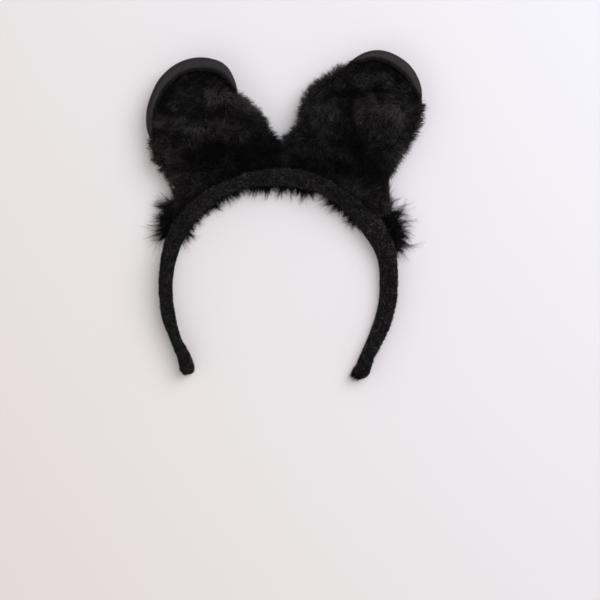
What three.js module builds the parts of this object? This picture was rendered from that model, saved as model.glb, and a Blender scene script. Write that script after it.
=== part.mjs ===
// Plush animal ears on a velvet-covered headband, lying on its front with its back side up.
//
// Frame, in millimetres: +Z up from the surface it lies on, +Y from the open ends of the band towards the
// ear tips, +X to the right as seen from above. The front of the ears, which faces forwards when it is worn,
// faces down. Everything is drawn in a drafting frame and then moved by ORIGIN, so that the origin is at the
// middle of the object's footprint, on the surface.
//
// The band is a U-shaped springy plastic strip in a foam wrap, in a velvet sleeve sewn shut along the inner
// side. The strip bends all along its length when the band is opened over a head. Here that bending is
// gathered in one pivot on each side, so the strip, the wrap and the sleeve are each drawn as a crown length
// and two leg lengths. Each ear is a pad between a plush back panel and a satin front panel that rolls over
// the tip onto the back. An ear bends at a waist just above the band, so its panels and pad are drawn as an
// upper part that swings and a base that is tacked to the band. A feather trim on its own cord runs along
// the front of the band.
import * as THREE from "three";

// ---- driving dimensions ----
const ORIGIN = [0.24, 0.336, 0]; // moves the drafting frame to the middle of the footprint
const SLEEVE_W = 13.6; // wide side of the band's flat oval section
const SLEEVE_T = 7.2; // thin side
const SLEEVE_WALL = 0.9;
const WRAP_WALL_GAP = 0.4; // clearance between strip, wrap and sleeve
const STRIP_W = 8.4;
const STRIP_T = 1.8;
const CROWN_LIFT = 6.6; // how far the crown stands off the surface, on the feather trim
const LEG_GAP = 2.6; // opening in the sleeve at a leg pivot
const WAIST_GAP = 1.6; // opening on each side of an ear's bending line
const SEAM_R = 0.45;
const SEAM_DIP = 0.35; // how far below level the seam sits, in radians
const TRIM_HALF_W = 7.0; // feather trim, flattened under the band
const TRIM_HALF_H = 2.75;
const TRIM_CORD_R = 0.8;
const FOOT_DEPTH = 0.9; // how far the end pieces are pressed flat where they stand
const PANEL_T = 1.1; // satin and plush panel thickness
const PANEL_GAP = 0.35;

// The band's centreline from the left tip to the right tip, with its visible width at each point.
const BAND = [
  [-59.2, -97.7, 9.2], [-59.9, -92.1, 9], [-61.6, -86.6, 7.8], [-63.6, -82.3, 7.2], [-66.2, -76.9, 6.8], [-68.1, -71.4, 7.1],
  [-70.1, -65.3, 7.8], [-71.5, -58.6, 8.1], [-72.4, -51.9, 8.2], [-72.7, -44.5, 8.4], [-72.3, -37.2, 8.4], [-71.3, -29.9, 8.9],
  [-69.7, -22.6, 9.6], [-67.3, -15.2, 10.4], [-63.1, -7.3, 10.7], [-57.3, 0.6, 10.1], [-49.7, 7.6, 9.5], [-40.6, 13.4, 8.7],
  [-30.8, 17.9, 8.4], [-21, 21, 9.2], [-11.3, 22.6, 10.4], [-1.5, 23, 11.1], [8.2, 22.1, 11.1], [17.4, 19.6, 10.4],
  [26.5, 15.7, 9.6], [34.5, 10.6, 9.6], [41.8, 4.6, 11], [48.8, -2.1, 12.8], [54.9, -9.2, 14], [59.5, -16.5, 13.4],
  [62.4, -24.4, 12.1], [63.6, -32.3, 11.3], [63.9, -40.9, 11.1], [63.6, -49.4, 10.9], [62.3, -57.9, 10.6], [60.2, -65.3, 10.5],
  [57.5, -72.3, 10.1], [54.3, -79.3, 9.3], [51.1, -86, 8.7], [48.9, -91.5, 9.2], [46.6, -100.4, 10.4],
];
const LEFT_PIVOT_INDEX = 11; // of BAND
const RIGHT_PIVOT_INDEX = 31;

// Outline of each ear above its bending line, from the left end of that line round the tip to its right end.
const LEFT_EAR = [
  [-71.1, 24.4], [-75.9, 29.9], [-79.9, 34.2], [-81.1, 39.6], [-82.3, 45.8], [-83.9, 51.9], [-84.3, 59.2], [-83.3, 66.5],
  [-80.8, 73.8], [-77.2, 81.1], [-72.6, 86.6], [-66.8, 91.2], [-59.5, 94.5], [-51.5, 95.8], [-44.2, 95], [-37.5, 92.4],
  [-33.5, 88.5], [-31.1, 84.2], [-29, 78.7], [-26.8, 73.8], [-23.5, 69.5], [-19.5, 65.6], [-16.2, 61], [-13.1, 55.5],
  [-10.1, 50.6], [-5.8, 45.1],
];
const RIGHT_EAR = [
  [2.1, 47], [4.6, 51.9], [7, 56.7], [9.2, 61.6], [10.1, 67.1], [11.9, 72.6], [14.9, 76.9], [19.8, 80.5], [26.5, 84.5],
  [33.2, 88.5], [38.7, 92.4], [43.6, 96.1], [49.1, 98.8], [55.8, 100.2], [63.1, 99.2], [69.8, 96.1], [75.3, 92.1],
  [79.3, 87.2], [82.3, 81.1], [83.9, 74.4], [83.6, 68.3], [82, 62.8], [80.5, 56.7], [77.8, 50], [74.1, 42.7],
  [70.5, 37.2], [66.8, 31.7], [63.1, 23.3],
];
// Where the satin rim shows on the back of each ear: first and last outline index.
const LEFT_RIM = [4, 19];
const RIGHT_RIM = [10, 20];
const RIM_SHARE = 0.11; // rim width as a share of the way from the edge to the ear's middle
const EAR_MIDDLE = { left: [-48, 58], right: [43, 62] };

// Upper edge of each ear's base, from the band's outer side over the bending line to the middle of the crown.
const LEFT_BASE_TOP = [[-67.6, 6.1], [-69.2, 14], [-69.4, 22.5], [-54.2, 27.5], [-37.9, 32.7], [-21.5, 37.9], [-7.4, 42.2], [-1.2, 40.2]];
const RIGHT_BASE_TOP = [[1, 40.4], [4.4, 43.8], [16.6, 39.2], [31.9, 33.2], [47.1, 27.2], [60.4, 21.9], [61.4, 14], [58.9, 6.1]];

// Centreline of the feather trim.
const TRIM = [
  [-76.5, -4.5], [-69.8, -1.6], [-61.9, 0.8], [-53.4, 5.8], [-43, 11.2], [-32, 16], [-21, 19], [-10.1, 20.4], [0.9, 20.6],
  [11.3, 19.6], [21.7, 16.9], [31.4, 12.3], [40.6, 7], [49.7, 3.2], [58.2, 0.8], [65.2, -4], [69, -11], [70, -18.5],
];

// ---- helpers ----
const group = new THREE.Group();
const MATERIALS = {
  velvet: new THREE.MeshStandardMaterial({ color: 0x181515, roughness: 0.95, metalness: 0 }),
  plush: new THREE.MeshStandardMaterial({ color: 0x121111, roughness: 1, metalness: 0 }),
  satin: new THREE.MeshStandardMaterial({ color: 0x2c2627, roughness: 0.5, metalness: 0 }),
  feather: new THREE.MeshStandardMaterial({ color: 0x100f10, roughness: 1, metalness: 0 }),
  foam: new THREE.MeshStandardMaterial({ color: 0x3a3a3c, roughness: 1, metalness: 0 }),
  plastic: new THREE.MeshStandardMaterial({ color: 0x141414, roughness: 0.4, metalness: 0 }),
  thread: new THREE.MeshStandardMaterial({ color: 0x0c0c0c, roughness: 0.8, metalness: 0 }),
};

function add(name, geometry, material) {
  const mesh = new THREE.Mesh(geometry, MATERIALS[material]);
  mesh.name = name;
  group.add(mesh);
  return mesh;
}

// A closed surface through loops of points. Each loop is a closed ring of the same number of points. The
// ends are either capped with fans, or the last loop joins the first one, as on a hollow sleeve or a ring.
function loft(loops, { joined = false } = {}) {
  const n = loops[0].length,
    position = [],
    index = [];
  for (const loop of loops) for (const p of loop) position.push(p.x, p.y, p.z);
  const quad = (a, b, c, d) => index.push(a, b, c, a, c, d);
  const rows = joined ? loops.length : loops.length - 1;
  for (let k = 0; k < rows; k++) {
    const next = (k + 1) % loops.length;
    for (let i = 0; i < n; i++) {
      const j = (i + 1) % n;
      quad(k * n + i, k * n + j, next * n + j, next * n + i);
    }
  }
  if (!joined)
    for (const [at, flip] of [[0, true], [loops.length - 1, false]]) {
      const c = loops[at].reduce((s, p) => s.add(p), new THREE.Vector3()).divideScalar(n);
      position.push(c.x, c.y, c.z);
      const centre = position.length / 3 - 1;
      for (let i = 0; i < n; i++) {
        const j = (i + 1) % n;
        if (flip) index.push(centre, at * n + j, at * n + i);
        else index.push(centre, at * n + i, at * n + j);
      }
    }
  const g = new THREE.BufferGeometry();
  g.setAttribute("position", new THREE.BufferAttribute(new Float32Array(position), 3));
  g.setIndex(index);
  if (volume(g) < 0) {
    for (let i = 0; i < index.length; i += 3) [index[i + 1], index[i + 2]] = [index[i + 2], index[i + 1]];
    g.setIndex(index);
  }
  g.computeVertexNormals();
  return g;
}

function volume(g) {
  const p = g.getAttribute("position"),
    ix = g.getIndex();
  const a = new THREE.Vector3(),
    b = new THREE.Vector3(),
    c = new THREE.Vector3();
  let v = 0;
  for (let i = 0; i < ix.count; i += 3) {
    a.fromBufferAttribute(p, ix.getX(i));
    b.fromBufferAttribute(p, ix.getX(i + 1));
    c.fromBufferAttribute(p, ix.getX(i + 2));
    v += a.dot(b.clone().cross(c)) / 6;
  }
  return v;
}

// ---- the band ----
const bandCurve = new THREE.CatmullRomCurve3(BAND.map(([x, y]) => new THREE.Vector3(x, y, 0)), false, "centripetal");
bandCurve.arcLengthDivisions = 800;
const bandLength = bandCurve.getLength();
const shareOf = (u) => {
  const lengths = bandCurve.getLengths();
  const k = u * (lengths.length - 1),
    i = Math.min(Math.floor(k), lengths.length - 2);
  return (lengths[i] + (lengths[i + 1] - lengths[i]) * (k - i)) / bandLength;
};
const LEFT_AT = shareOf(LEFT_PIVOT_INDEX / (BAND.length - 1)); // pivots, as shares of the band's length
const RIGHT_AT = shareOf(RIGHT_PIVOT_INDEX / (BAND.length - 1));
const TIP_SHARE = 4.2 / bandLength; // the sleeve's end pieces

// The thin side of the section and its tilt at each point of the centreline, evened out along the band. At no
// tilt the wide side stands upright; at a quarter turn it lies flat.
const even = (list) => list.map((v, i) => (list[Math.max(0, i - 1)] + 2 * v + list[Math.min(list.length - 1, i + 1)]) / 4);
const THIN = even(even(BAND.map((p) => Math.min(SLEEVE_T, p[2]))));
const TILT = even(
  even(
    BAND.map((p) => {
      const thin = Math.min(SLEEVE_T, p[2]);
      return Math.asin(Math.sqrt(Math.min(1, (p[2] ** 2 - thin ** 2) / (SLEEVE_W ** 2 - thin ** 2))));
    }),
  ),
);
const SEEN = BAND.map((p) => p[2]);
function along(list, u) {
  const k = u * (list.length - 1),
    i = Math.min(Math.floor(k), list.length - 2);
  return list[i] + (list[i + 1] - list[i]) * (k - i);
}

// The band's frame at a share of its length: centre, direction out of the arch, and the section's size and tilt.
function station(share) {
  const s = Math.min(Math.max(share, 0), 1);
  const u = bandCurve.getUtoTmapping(s);
  const p = bandCurve.getPoint(u);
  const t = bandCurve.getTangent(u);
  const out = new THREE.Vector3(-t.y, t.x, 0).normalize(); // left of the direction of travel is outside the arch
  const fromEnd = Math.min(s, 1 - s) * bandLength;
  const wide = SLEEVE_W - 1.2 * Math.max(0, 1 - fromEnd / 20);
  const at = { p, t, out, tilt: along(TILT, u), thin: along(THIN, u), wide, z: 0, squeeze: 1 };
  const across = ring(at, wide / 2, at.thin / 2, 12, 0.85).map((q) => (q.x - p.x) * out.x + (q.y - p.y) * out.y);
  at.squeeze = along(SEEN, u) / (Math.max(...across) - Math.min(...across)); // the foam gives until the band is this wide
  const lowest = Math.min(...ring(at, wide / 2, at.thin / 2, 12, 0.85).map((q) => q.z));
  at.z = CROWN_LIFT * THREE.MathUtils.smoothstep(fromEnd, 15, 125) - lowest;
  return at;
}

const up = new THREE.Vector3(0, 0, 1);
function ring(at, halfWide, halfThin, n, square = 1) {
  const wideDir = up.clone().multiplyScalar(Math.cos(at.tilt)).addScaledVector(at.out, at.squeeze * Math.sin(at.tilt));
  const thinDir = at.out.clone().multiplyScalar(at.squeeze * Math.cos(at.tilt)).addScaledVector(up, -Math.sin(at.tilt));
  const loop = [];
  for (let i = 0; i < n; i++) {
    const a = ((i + 0.5) / n) * 2 * Math.PI,
      c = Math.cos(a),
      s = Math.sin(a);
    const cc = Math.sign(c) * Math.abs(c) ** square,
      ss = Math.sign(s) * Math.abs(s) ** square;
    loop.push(
      new THREE.Vector3(at.p.x, at.p.y, at.z).addScaledVector(wideDir, halfWide * cc).addScaledVector(thinDir, halfThin * ss),
    );
  }
  return loop;
}

function shares(from, to, count) {
  return Array.from({ length: count }, (_, i) => from + ((to - from) * i) / (count - 1));
}

function sleeve(from, to, count, outset, wall, n) {
  const at = shares(from, to, count).map(station);
  const outer = at.map((s) => ring(s, s.wide / 2 - outset, s.thin / 2 - outset, n, 0.85));
  const inner = at.map((s) => ring(s, s.wide / 2 - outset - wall, s.thin / 2 - outset - wall, n, 0.85));
  return loft([...outer, ...inner.reverse()], { joined: true });
}

const halfGap = LEG_GAP / 2 / bandLength;
const LENGTHS = {
  left_leg: [TIP_SHARE, LEFT_AT - halfGap, 10],
  crown: [LEFT_AT + halfGap, RIGHT_AT - halfGap, 28],
  right_leg: [RIGHT_AT + halfGap, 1 - TIP_SHARE, 10],
};
for (const [where, [from, to, count]] of Object.entries(LENGTHS)) {
  add(`velvet_sleeve_${where}`, sleeve(from, to, count, 0, SLEEVE_WALL, 12), "velvet");
  const in1 = SLEEVE_WALL + WRAP_WALL_GAP;
  const at = shares(from, to, count).map(station);
  // The foam wrap: as thick as the room between the sleeve and the strip.
  const outer = at.map((s) => ring(s, s.wide / 2 - in1, s.thin / 2 - in1, 12, 0.85));
  const inner = at.map((s) => ring(s, STRIP_W / 2 + 0.5, STRIP_T / 2 + 0.4, 12, 0.6));
  add(`foam_wrap_${where}`, loft([...outer, ...inner.reverse()], { joined: true }), "foam");
  // The springy strip, a rounded flat bar.
  add(`spring_strip_${where}`, loft(at.map((s) => ring(s, STRIP_W / 2, STRIP_T / 2, 12, 0.6))), "plastic");
  // The seam that closes the sleeve, a sewn cord low on the side that faces the head.
  const seam = at.map((s) => {
    const facing = s.out.clone().multiplyScalar(-Math.cos(SEAM_DIP)).addScaledVector(up, -Math.sin(SEAM_DIP));
    const loopAt = ring(s, s.wide / 2, s.thin / 2, 48, 0.85);
    const c = loopAt.reduce((best, q) => (q.dot(facing) > best.dot(facing) ? q : best)).clone();
    c.addScaledVector(facing, SEAM_R + 0.3);
    const across = new THREE.Vector3().crossVectors(s.t, facing).normalize();
    return [0, 1, 2, 3].map((i) => {
      const a = (i * Math.PI) / 2;
      return c.clone().addScaledVector(facing, SEAM_R * Math.cos(a)).addScaledVector(across, SEAM_R * Math.sin(a));
    });
  });
  add(`sleeve_seam_${where}`, loft(seam), "thread");
}

// The closed ends of the sleeve: domes with a small flat foot where the band stands on the surface.
function endCap(edge, direction) {
  const loops = [];
  const total = TIP_SHARE * bandLength - 0.3;
  for (const f of [0, 0.3, 0.58, 0.8, 0.94]) {
    const s = station(edge + (direction * (0.3 + f * total)) / bandLength);
    const k = Math.sqrt(1 - f * f);
    const loop = ring(s, (s.wide / 2) * k + 0.3, (s.thin / 2) * k + 0.1, 12, 0.85);
    for (const p of loop) p.z = Math.max(0, p.z - FOOT_DEPTH);
    loops.push(loop);
  }
  return loft(loops);
}
add("left_tip_cap", endCap(TIP_SHARE, -1), "velvet");
add("right_tip_cap", endCap(1 - TIP_SHARE, 1), "velvet");

// ---- the feather trim ----
const trimCurve = new THREE.CatmullRomCurve3(TRIM.map(([x, y]) => new THREE.Vector3(x, y, TRIM_HALF_H)), false, "centripetal");
function trimLoop(share, halfW, halfH, n) {
  const p = trimCurve.getPointAt(share),
    t = trimCurve.getTangentAt(share),
    side = new THREE.Vector3(-t.y, t.x, 0).normalize();
  return Array.from({ length: n }, (_, i) => {
    const a = ((i + 0.5) / n) * 2 * Math.PI;
    return p.clone().addScaledVector(side, halfW * Math.cos(a)).addScaledVector(up, halfH * Math.sin(a));
  });
}
{
  const at = shares(0.02, 0.98, 24);
  const flat = (loop) => loop.map((p) => new THREE.Vector3(p.x, p.y, Math.max(0, p.z)));
  const swell = (s) => 0.66 + 0.34 * Math.sin(Math.PI * s);
  const outer = at.map((s) => flat(trimLoop(s, TRIM_HALF_W * swell(s), TRIM_HALF_H * 1.06, 10)));
  const inner = at.map((s) => trimLoop(s, TRIM_CORD_R + 0.4, TRIM_CORD_R + 0.4, 10));
  add("feather_trim", loft([...outer, ...inner.reverse()], { joined: true }), "feather");
  add("feather_trim_cord", loft([0, ...at, 1].map((s) => trimLoop(s, TRIM_CORD_R, TRIM_CORD_R, 10))), "thread");
}

// ---- the ears above their bending lines ----
const EAR_Z = 10.4; // mid-height of an ear at its bending line
const EAR_HALF = 3.6; // half the pad's thickness where it is fullest

function smoothClosedOutline(points, count) {
  // The bending line stays straight, so only the free edge is smoothed.
  const curve = new THREE.CatmullRomCurve3(points.map(([x, y]) => new THREE.Vector3(x, y, 0)), false, "centripetal");
  return Array.from({ length: count }, (_, i) => curve.getPointAt(i / (count - 1)));
}

// Mid-surface height: dished, with the free edge raised off the surface.
function earMid(r, along) {
  return EAR_Z - 1.5 * (1 - r * r) * along + 2.2 * r * r * along;
}

function makeEar(side, outline, rim, middle) {
  const name = `${side}_ear`;
  const count = 26;
  const free = smoothClosedOutline(outline, count);
  const a = free[0],
    b = free[count - 1];
  const lineDir = b.clone().sub(a).normalize();
  const away = new THREE.Vector3(-lineDir.y, lineDir.x, 0); // from the bending line towards the tip
  // Extra points along the bending line close the outline.
  const onLine = [1, 2, 3, 4, 5].map((i) => b.clone().lerp(a, i / 6));
  const outlineAll = [...free, ...onLine].map((p) => {
    const d = p.clone().sub(a).dot(away);
    return d < WAIST_GAP ? p.clone().addScaledVector(away, WAIST_GAP - d) : p.clone();
  });
  const c = new THREE.Vector3(middle[0], middle[1], 0);
  const height = Math.max(...outlineAll.map((p) => p.clone().sub(a).dot(away)));
  const rimAt = (i) => {
    if (i >= count) return 0;
    const k = (i * (outline.length - 1)) / (count - 1);
    return THREE.MathUtils.smoothstep(k, rim[0] - 1, rim[0] + 2) * (1 - THREE.MathUtils.smoothstep(k, rim[1] - 2, rim[1] + 1));
  };
  const at = (i, r, z) => {
    const p = c.clone().lerp(outlineAll[i], r);
    const d = Math.min(1, Math.max(0, p.clone().sub(a).dot(away) / height));
    const along = THREE.MathUtils.smoothstep(d, 0.0, 0.75);
    // The pad thins to a pinched waist at the bending line.
    const waist = 0.55 + 0.45 * THREE.MathUtils.smoothstep(d, 0.0, 0.3);
    return new THREE.Vector3(p.x, p.y, earMid(r, along) + z * waist);
  };
  const loopsOf = (profile) => profile.map((pair) => outlineAll.map((_, i) => at(i, ...pair(i))));
  const full = (r) => EAR_HALF * Math.sqrt(Math.max(0, 1 - r ** 2.6));
  const T = PANEL_T,
    G = PANEL_GAP;

  // Satin front panel: a bowl under the pad whose edge rolls up and over onto the back at the tip.
  const edge = 2.1; // half the height of the rolled edge
  const lipR = (i) => 1 - RIM_SHARE * rimAt(i) - 0.035;
  add(
    `${name}_satin_front`,
    loft(
      loopsOf([
        () => [0.03, -full(0.03) - T],
        () => [0.45, -full(0.45) - T],
        () => [0.72, -full(0.72) - T],
        () => [0.9, -full(0.9) - T * 0.9],
        () => [0.985, -edge * 0.55],
        () => [1, 0],
        (i) => [0.985, edge * (0.35 + 0.5 * rimAt(i))],
        (i) => [(0.985 + lipR(i)) / 2, edge * (0.5 + 0.9 * rimAt(i))],
        (i) => [lipR(i), edge * (0.5 + 0.75 * rimAt(i))],
        (i) => [lipR(i), edge * (0.5 + 0.75 * rimAt(i)) - 0.75],
        () => [0.955, 0],
        () => [0.88, -full(0.88) + 0.15],
        () => [0.72, -full(0.72)],
        () => [0.45, -full(0.45)],
        () => [0.03, -full(0.03)],
      ]),
    ),
    "satin",
  );
  // Pad: the filling between the two panels.
  add(
    `${name}_filling`,
    loft(
      loopsOf([
        () => [0.03, -full(0.03) + G],
        () => [0.45, -full(0.45) + G],
        () => [0.7, -full(0.7) + G],
        () => [0.82, -1.0],
        () => [0.82, 0.2],
        () => [0.7, full(0.7) - G - 1.5],
        () => [0.45, full(0.45) - G - 1.4],
        () => [0.03, full(0.03) - G - 1.4],
      ]),
    ),
    "foam",
  );
  // Plush back panel over the pad, inside the satin roll at the tip.
  add(
    `${name}_plush_back`,
    loft(
      loopsOf([
        () => [0.03, full(0.03)],
        () => [0.45, full(0.45)],
        () => [0.7, full(0.7) - 0.5],
        (i) => [lipR(i) - 0.035, 1.0],
        (i) => [lipR(i) - 0.03, 1.0 + T],
        () => [0.7, full(0.7) + T - 0.4],
        () => [0.45, full(0.45) + T],
        () => [0.03, full(0.03) + T],
      ]),
    ),
    "plush",
  );
}
makeEar("left", LEFT_EAR, LEFT_RIM, EAR_MIDDLE.left);
makeEar("right", RIGHT_EAR, RIGHT_RIM, EAR_MIDDLE.right);

// ---- the ears' bases, tacked to the outside of the band ----
function makeBase(side, top, fromShare, toShare) {
  const curve = new THREE.CatmullRomCurve3(top.map(([x, y]) => new THREE.Vector3(x, y, 0)), false, "centripetal");
  const count = 15;
  const stations = Array.from({ length: count }, (_, k) => {
    const f = k / (count - 1);
    const s = station(fromShare + (toShare - fromShare) * f);
    const seen = Math.sqrt(((s.wide / 2) * Math.sin(s.tilt)) ** 2 + ((s.thin / 2) * Math.cos(s.tilt)) ** 2);
    const low = s.p.clone().addScaledVector(s.out, seen + 0.5);
    const high = curve.getPointAt(f);
    return { low, high, f };
  });
  // A layer between two heights, given at the band, in the middle and at the bending line.
  const layer = (under, over, inset, ends = 0, fromBand = inset) =>
    loft(
      stations.slice(ends, count - ends).map(({ low, high, f }) => {
        const along = high.clone().sub(low).normalize();
        const a = low.clone().addScaledVector(along, fromBand),
          b = high.clone().addScaledVector(along, -inset);
        const swell = 0.55 + 0.45 * Math.sin(Math.PI * (0.08 + 0.84 * f));
        const zs = (h) => EAR_Z + h * swell;
        const at = (q, h) => {
          const p = a.clone().lerp(b, q);
          return new THREE.Vector3(p.x, p.y, zs(h));
        };
        return [at(0, under[0]), at(0.5, under[1]), at(1, under[2]), at(1, over[2]), at(0.5, over[1]), at(0, over[0])];
      }),
    );
  const g = PANEL_GAP / 0.55;
  add(`${side}_ear_base_satin`, layer([-3.3, -3.6, -2.4], [-2.1, -2.2, -1.2], 0), "satin");
  add(`${side}_ear_base_filling`, layer([-0.9, -2.4 + g, -1.2 + g], [0.3, 2.1 - g, 1.2 - g + 0.35], 1.6, 2, 3.6), "foam");
  add(`${side}_ear_base_plush`, layer([2.0, 2.1, 1.6], [3.3, 3.7, 2.7], 0), "plush");
}
const CENTRE_AT = shareOf(21.15 / (BAND.length - 1));
makeBase("left", LEFT_BASE_TOP, shareOf(14.2 / (BAND.length - 1)), CENTRE_AT - 0.5 / bandLength);
makeBase("right", RIGHT_BASE_TOP, CENTRE_AT + 0.5 / bandLength, shareOf(27.4 / (BAND.length - 1)));

// The hand stitches that tack each ear's base to the band: a zigzag of heavy thread on the front side.
function makeTack(side, fromShare, toShare) {
  const stitches = 13,
    points = [];
  for (let k = 0; k <= stitches; k++) {
    const s = station(fromShare + ((toShare - fromShare) * k) / stitches);
    const seen = Math.sqrt(((s.wide / 2) * Math.sin(s.tilt)) ** 2 + ((s.thin / 2) * Math.cos(s.tilt)) ** 2);
    const off = k % 2 ? seen + 2.2 : seen - 0.4;
    points.push(s.p.clone().addScaledVector(s.out, off).setZ(6.25));
  }
  const curve = new THREE.CatmullRomCurve3(points, false, "catmullrom", 0.2);
  const steps = 40;
  add(
    `${side}_ear_tack_thread`,
    loft(
      shares(0, 1, steps).map((u) => {
        const p = curve.getPoint(u),
          t = curve.getTangent(u),
          sideways = new THREE.Vector3(-t.y, t.x, 0).normalize();
        return [0, 1, 2, 3].map((i) => {
          const a = ((i + 0.5) * Math.PI) / 2;
          return p.clone().addScaledVector(sideways, 0.3 * Math.cos(a)).addScaledVector(up, 0.3 * Math.sin(a));
        });
      }),
    ),
    "thread",
  );
}
makeTack("left", shareOf(15 / (BAND.length - 1)), CENTRE_AT - 2 / bandLength);
makeTack("right", CENTRE_AT + 2 / bandLength, shareOf(26.5 / (BAND.length - 1)));

group.position.set(...ORIGIN);
export default group;
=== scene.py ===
"""Animal ears headband: plush ears and a velvet band, lying on its front on a pale surface."""
import math
import bpy
import numpy as np
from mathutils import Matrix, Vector


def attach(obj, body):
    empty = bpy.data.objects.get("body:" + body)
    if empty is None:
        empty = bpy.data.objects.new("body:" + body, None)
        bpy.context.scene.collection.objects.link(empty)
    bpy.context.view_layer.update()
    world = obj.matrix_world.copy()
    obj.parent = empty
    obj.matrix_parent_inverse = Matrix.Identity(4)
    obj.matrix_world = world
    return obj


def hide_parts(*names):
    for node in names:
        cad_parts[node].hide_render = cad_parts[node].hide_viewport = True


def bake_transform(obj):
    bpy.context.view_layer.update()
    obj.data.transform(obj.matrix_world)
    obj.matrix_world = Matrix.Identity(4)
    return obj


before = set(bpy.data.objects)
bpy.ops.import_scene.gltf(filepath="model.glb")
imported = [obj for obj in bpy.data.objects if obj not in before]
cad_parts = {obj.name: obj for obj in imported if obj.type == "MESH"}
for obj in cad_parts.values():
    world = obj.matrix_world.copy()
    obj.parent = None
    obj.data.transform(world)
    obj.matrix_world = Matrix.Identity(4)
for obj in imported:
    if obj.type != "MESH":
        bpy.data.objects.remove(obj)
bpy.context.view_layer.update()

MM = 0.001
SHIFT = np.array([0.24, 0.336, 0.0])  # drafting frame to row frame, as in the CAD

# ------------------------------------------------------------------ the band's line, in the drafting frame (mm)
BAND = np.array([
    [-59.2, -97.7, 9.2], [-59.9, -92.1, 9], [-61.6, -86.6, 7.8], [-63.6, -82.3, 7.2], [-66.2, -76.9, 6.8], [-68.1, -71.4, 7.1],
    [-70.1, -65.3, 7.8], [-71.5, -58.6, 8.1], [-72.4, -51.9, 8.2], [-72.7, -44.5, 8.4], [-72.3, -37.2, 8.4], [-71.3, -29.9, 8.9],
    [-69.7, -22.6, 9.6], [-67.3, -15.2, 10.4], [-63.1, -7.3, 10.7], [-57.3, 0.6, 10.1], [-49.7, 7.6, 9.5], [-40.6, 13.4, 8.7],
    [-30.8, 17.9, 8.4], [-21, 21, 9.2], [-11.3, 22.6, 10.4], [-1.5, 23, 11.1], [8.2, 22.1, 11.1], [17.4, 19.6, 10.4],
    [26.5, 15.7, 9.6], [34.5, 10.6, 9.6], [41.8, 4.6, 11], [48.8, -2.1, 12.8], [54.9, -9.2, 14], [59.5, -16.5, 13.4],
    [62.4, -24.4, 12.1], [63.6, -32.3, 11.3], [63.9, -40.9, 11.1], [63.6, -49.4, 10.9], [62.3, -57.9, 10.6], [60.2, -65.3, 10.5],
    [57.5, -72.3, 10.1], [54.3, -79.3, 9.3], [51.1, -86, 8.7], [48.9, -91.5, 9.2], [46.6, -100.4, 10.4]])
LEFT_EAR = [
    [-71.1, 24.4], [-75.9, 29.9], [-79.9, 34.2], [-81.1, 39.6], [-82.3, 45.8], [-83.9, 51.9], [-84.3, 59.2], [-83.3, 66.5],
    [-80.8, 73.8], [-77.2, 81.1], [-72.6, 86.6], [-66.8, 91.2], [-59.5, 94.5], [-51.5, 95.8], [-44.2, 95], [-37.5, 92.4],
    [-33.5, 88.5], [-31.1, 84.2], [-29, 78.7], [-26.8, 73.8], [-23.5, 69.5], [-19.5, 65.6], [-16.2, 61], [-13.1, 55.5],
    [-10.1, 50.6], [-5.8, 45.1]]
RIGHT_EAR = [
    [2.1, 47], [4.6, 51.9], [7, 56.7], [9.2, 61.6], [10.1, 67.1], [11.9, 72.6], [14.9, 76.9], [19.8, 80.5], [26.5, 84.5],
    [33.2, 88.5], [38.7, 92.4], [43.6, 96.1], [49.1, 98.8], [55.8, 100.2], [63.1, 99.2], [69.8, 96.1], [75.3, 92.1],
    [79.3, 87.2], [82.3, 81.1], [83.9, 74.4], [83.6, 68.3], [82, 62.8], [80.5, 56.7], [77.8, 50], [74.1, 42.7],
    [70.5, 37.2], [66.8, 31.7], [63.1, 23.3]]
TRIM = np.array([
    [-76.5, -4.5], [-69.8, -1.6], [-61.9, 0.8], [-53.4, 5.8], [-43, 11.2], [-32, 16], [-21, 19], [-10.1, 20.4], [0.9, 20.6],
    [11.3, 19.6], [21.7, 16.9], [31.4, 12.3], [40.6, 7], [49.7, 3.2], [58.2, 0.8], [65.2, -4], [69, -11], [70, -18.5]])
CROWN_LIFT, SLEEVE_W, SLEEVE_T = 6.6, 13.6, 7.2
# The plush's own edge, which the pile softens: close to the solids' outline, fuller at the low corner and at the fold.
LEFT_LINE = [[-73.4, 25.0], [-77.6, 29.4], [-81.4, 34.8], [-82.8, 40.0], [-83.2, 45.8]] + LEFT_EAR[5:20] + [
    [-21.7, 69.8], [-17.5, 66.0], [-13.7, 61.2], [-10.3, 55.8], [-8.2, 51.0], [-5.2, 46.6]]
RIGHT_LINE = [[1.6, 48.4]] + RIGHT_EAR[1:7] + [[19.0, 81.4], [24.8, 85.4], [32.2, 89.3], [38.0, 92.9]] + RIGHT_EAR[11:20] + [
    [84.0, 68.3], [83.6, 62.4], [82.4, 56.3], [79.2, 49.8], [74.9, 42.6], [71.0, 37.1], [67.2, 31.6], [64.4, 23.2]]
HINGE = {"left": (np.array([-71.1, 24.4]), np.array([-5.8, 45.1])), "right": (np.array([2.1, 47.0]), np.array([63.1, 23.3]))}


# ------------------------------------------------------------------ small tools
def smoothstep(x, a, b):
    t = np.clip((np.asarray(x, float) - a) / (b - a), 0, 1)
    return t * t * (3 - 2 * t)


def unit(v):
    return v / np.maximum(np.linalg.norm(v, axis=-1, keepdims=True), 1e-9)


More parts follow.
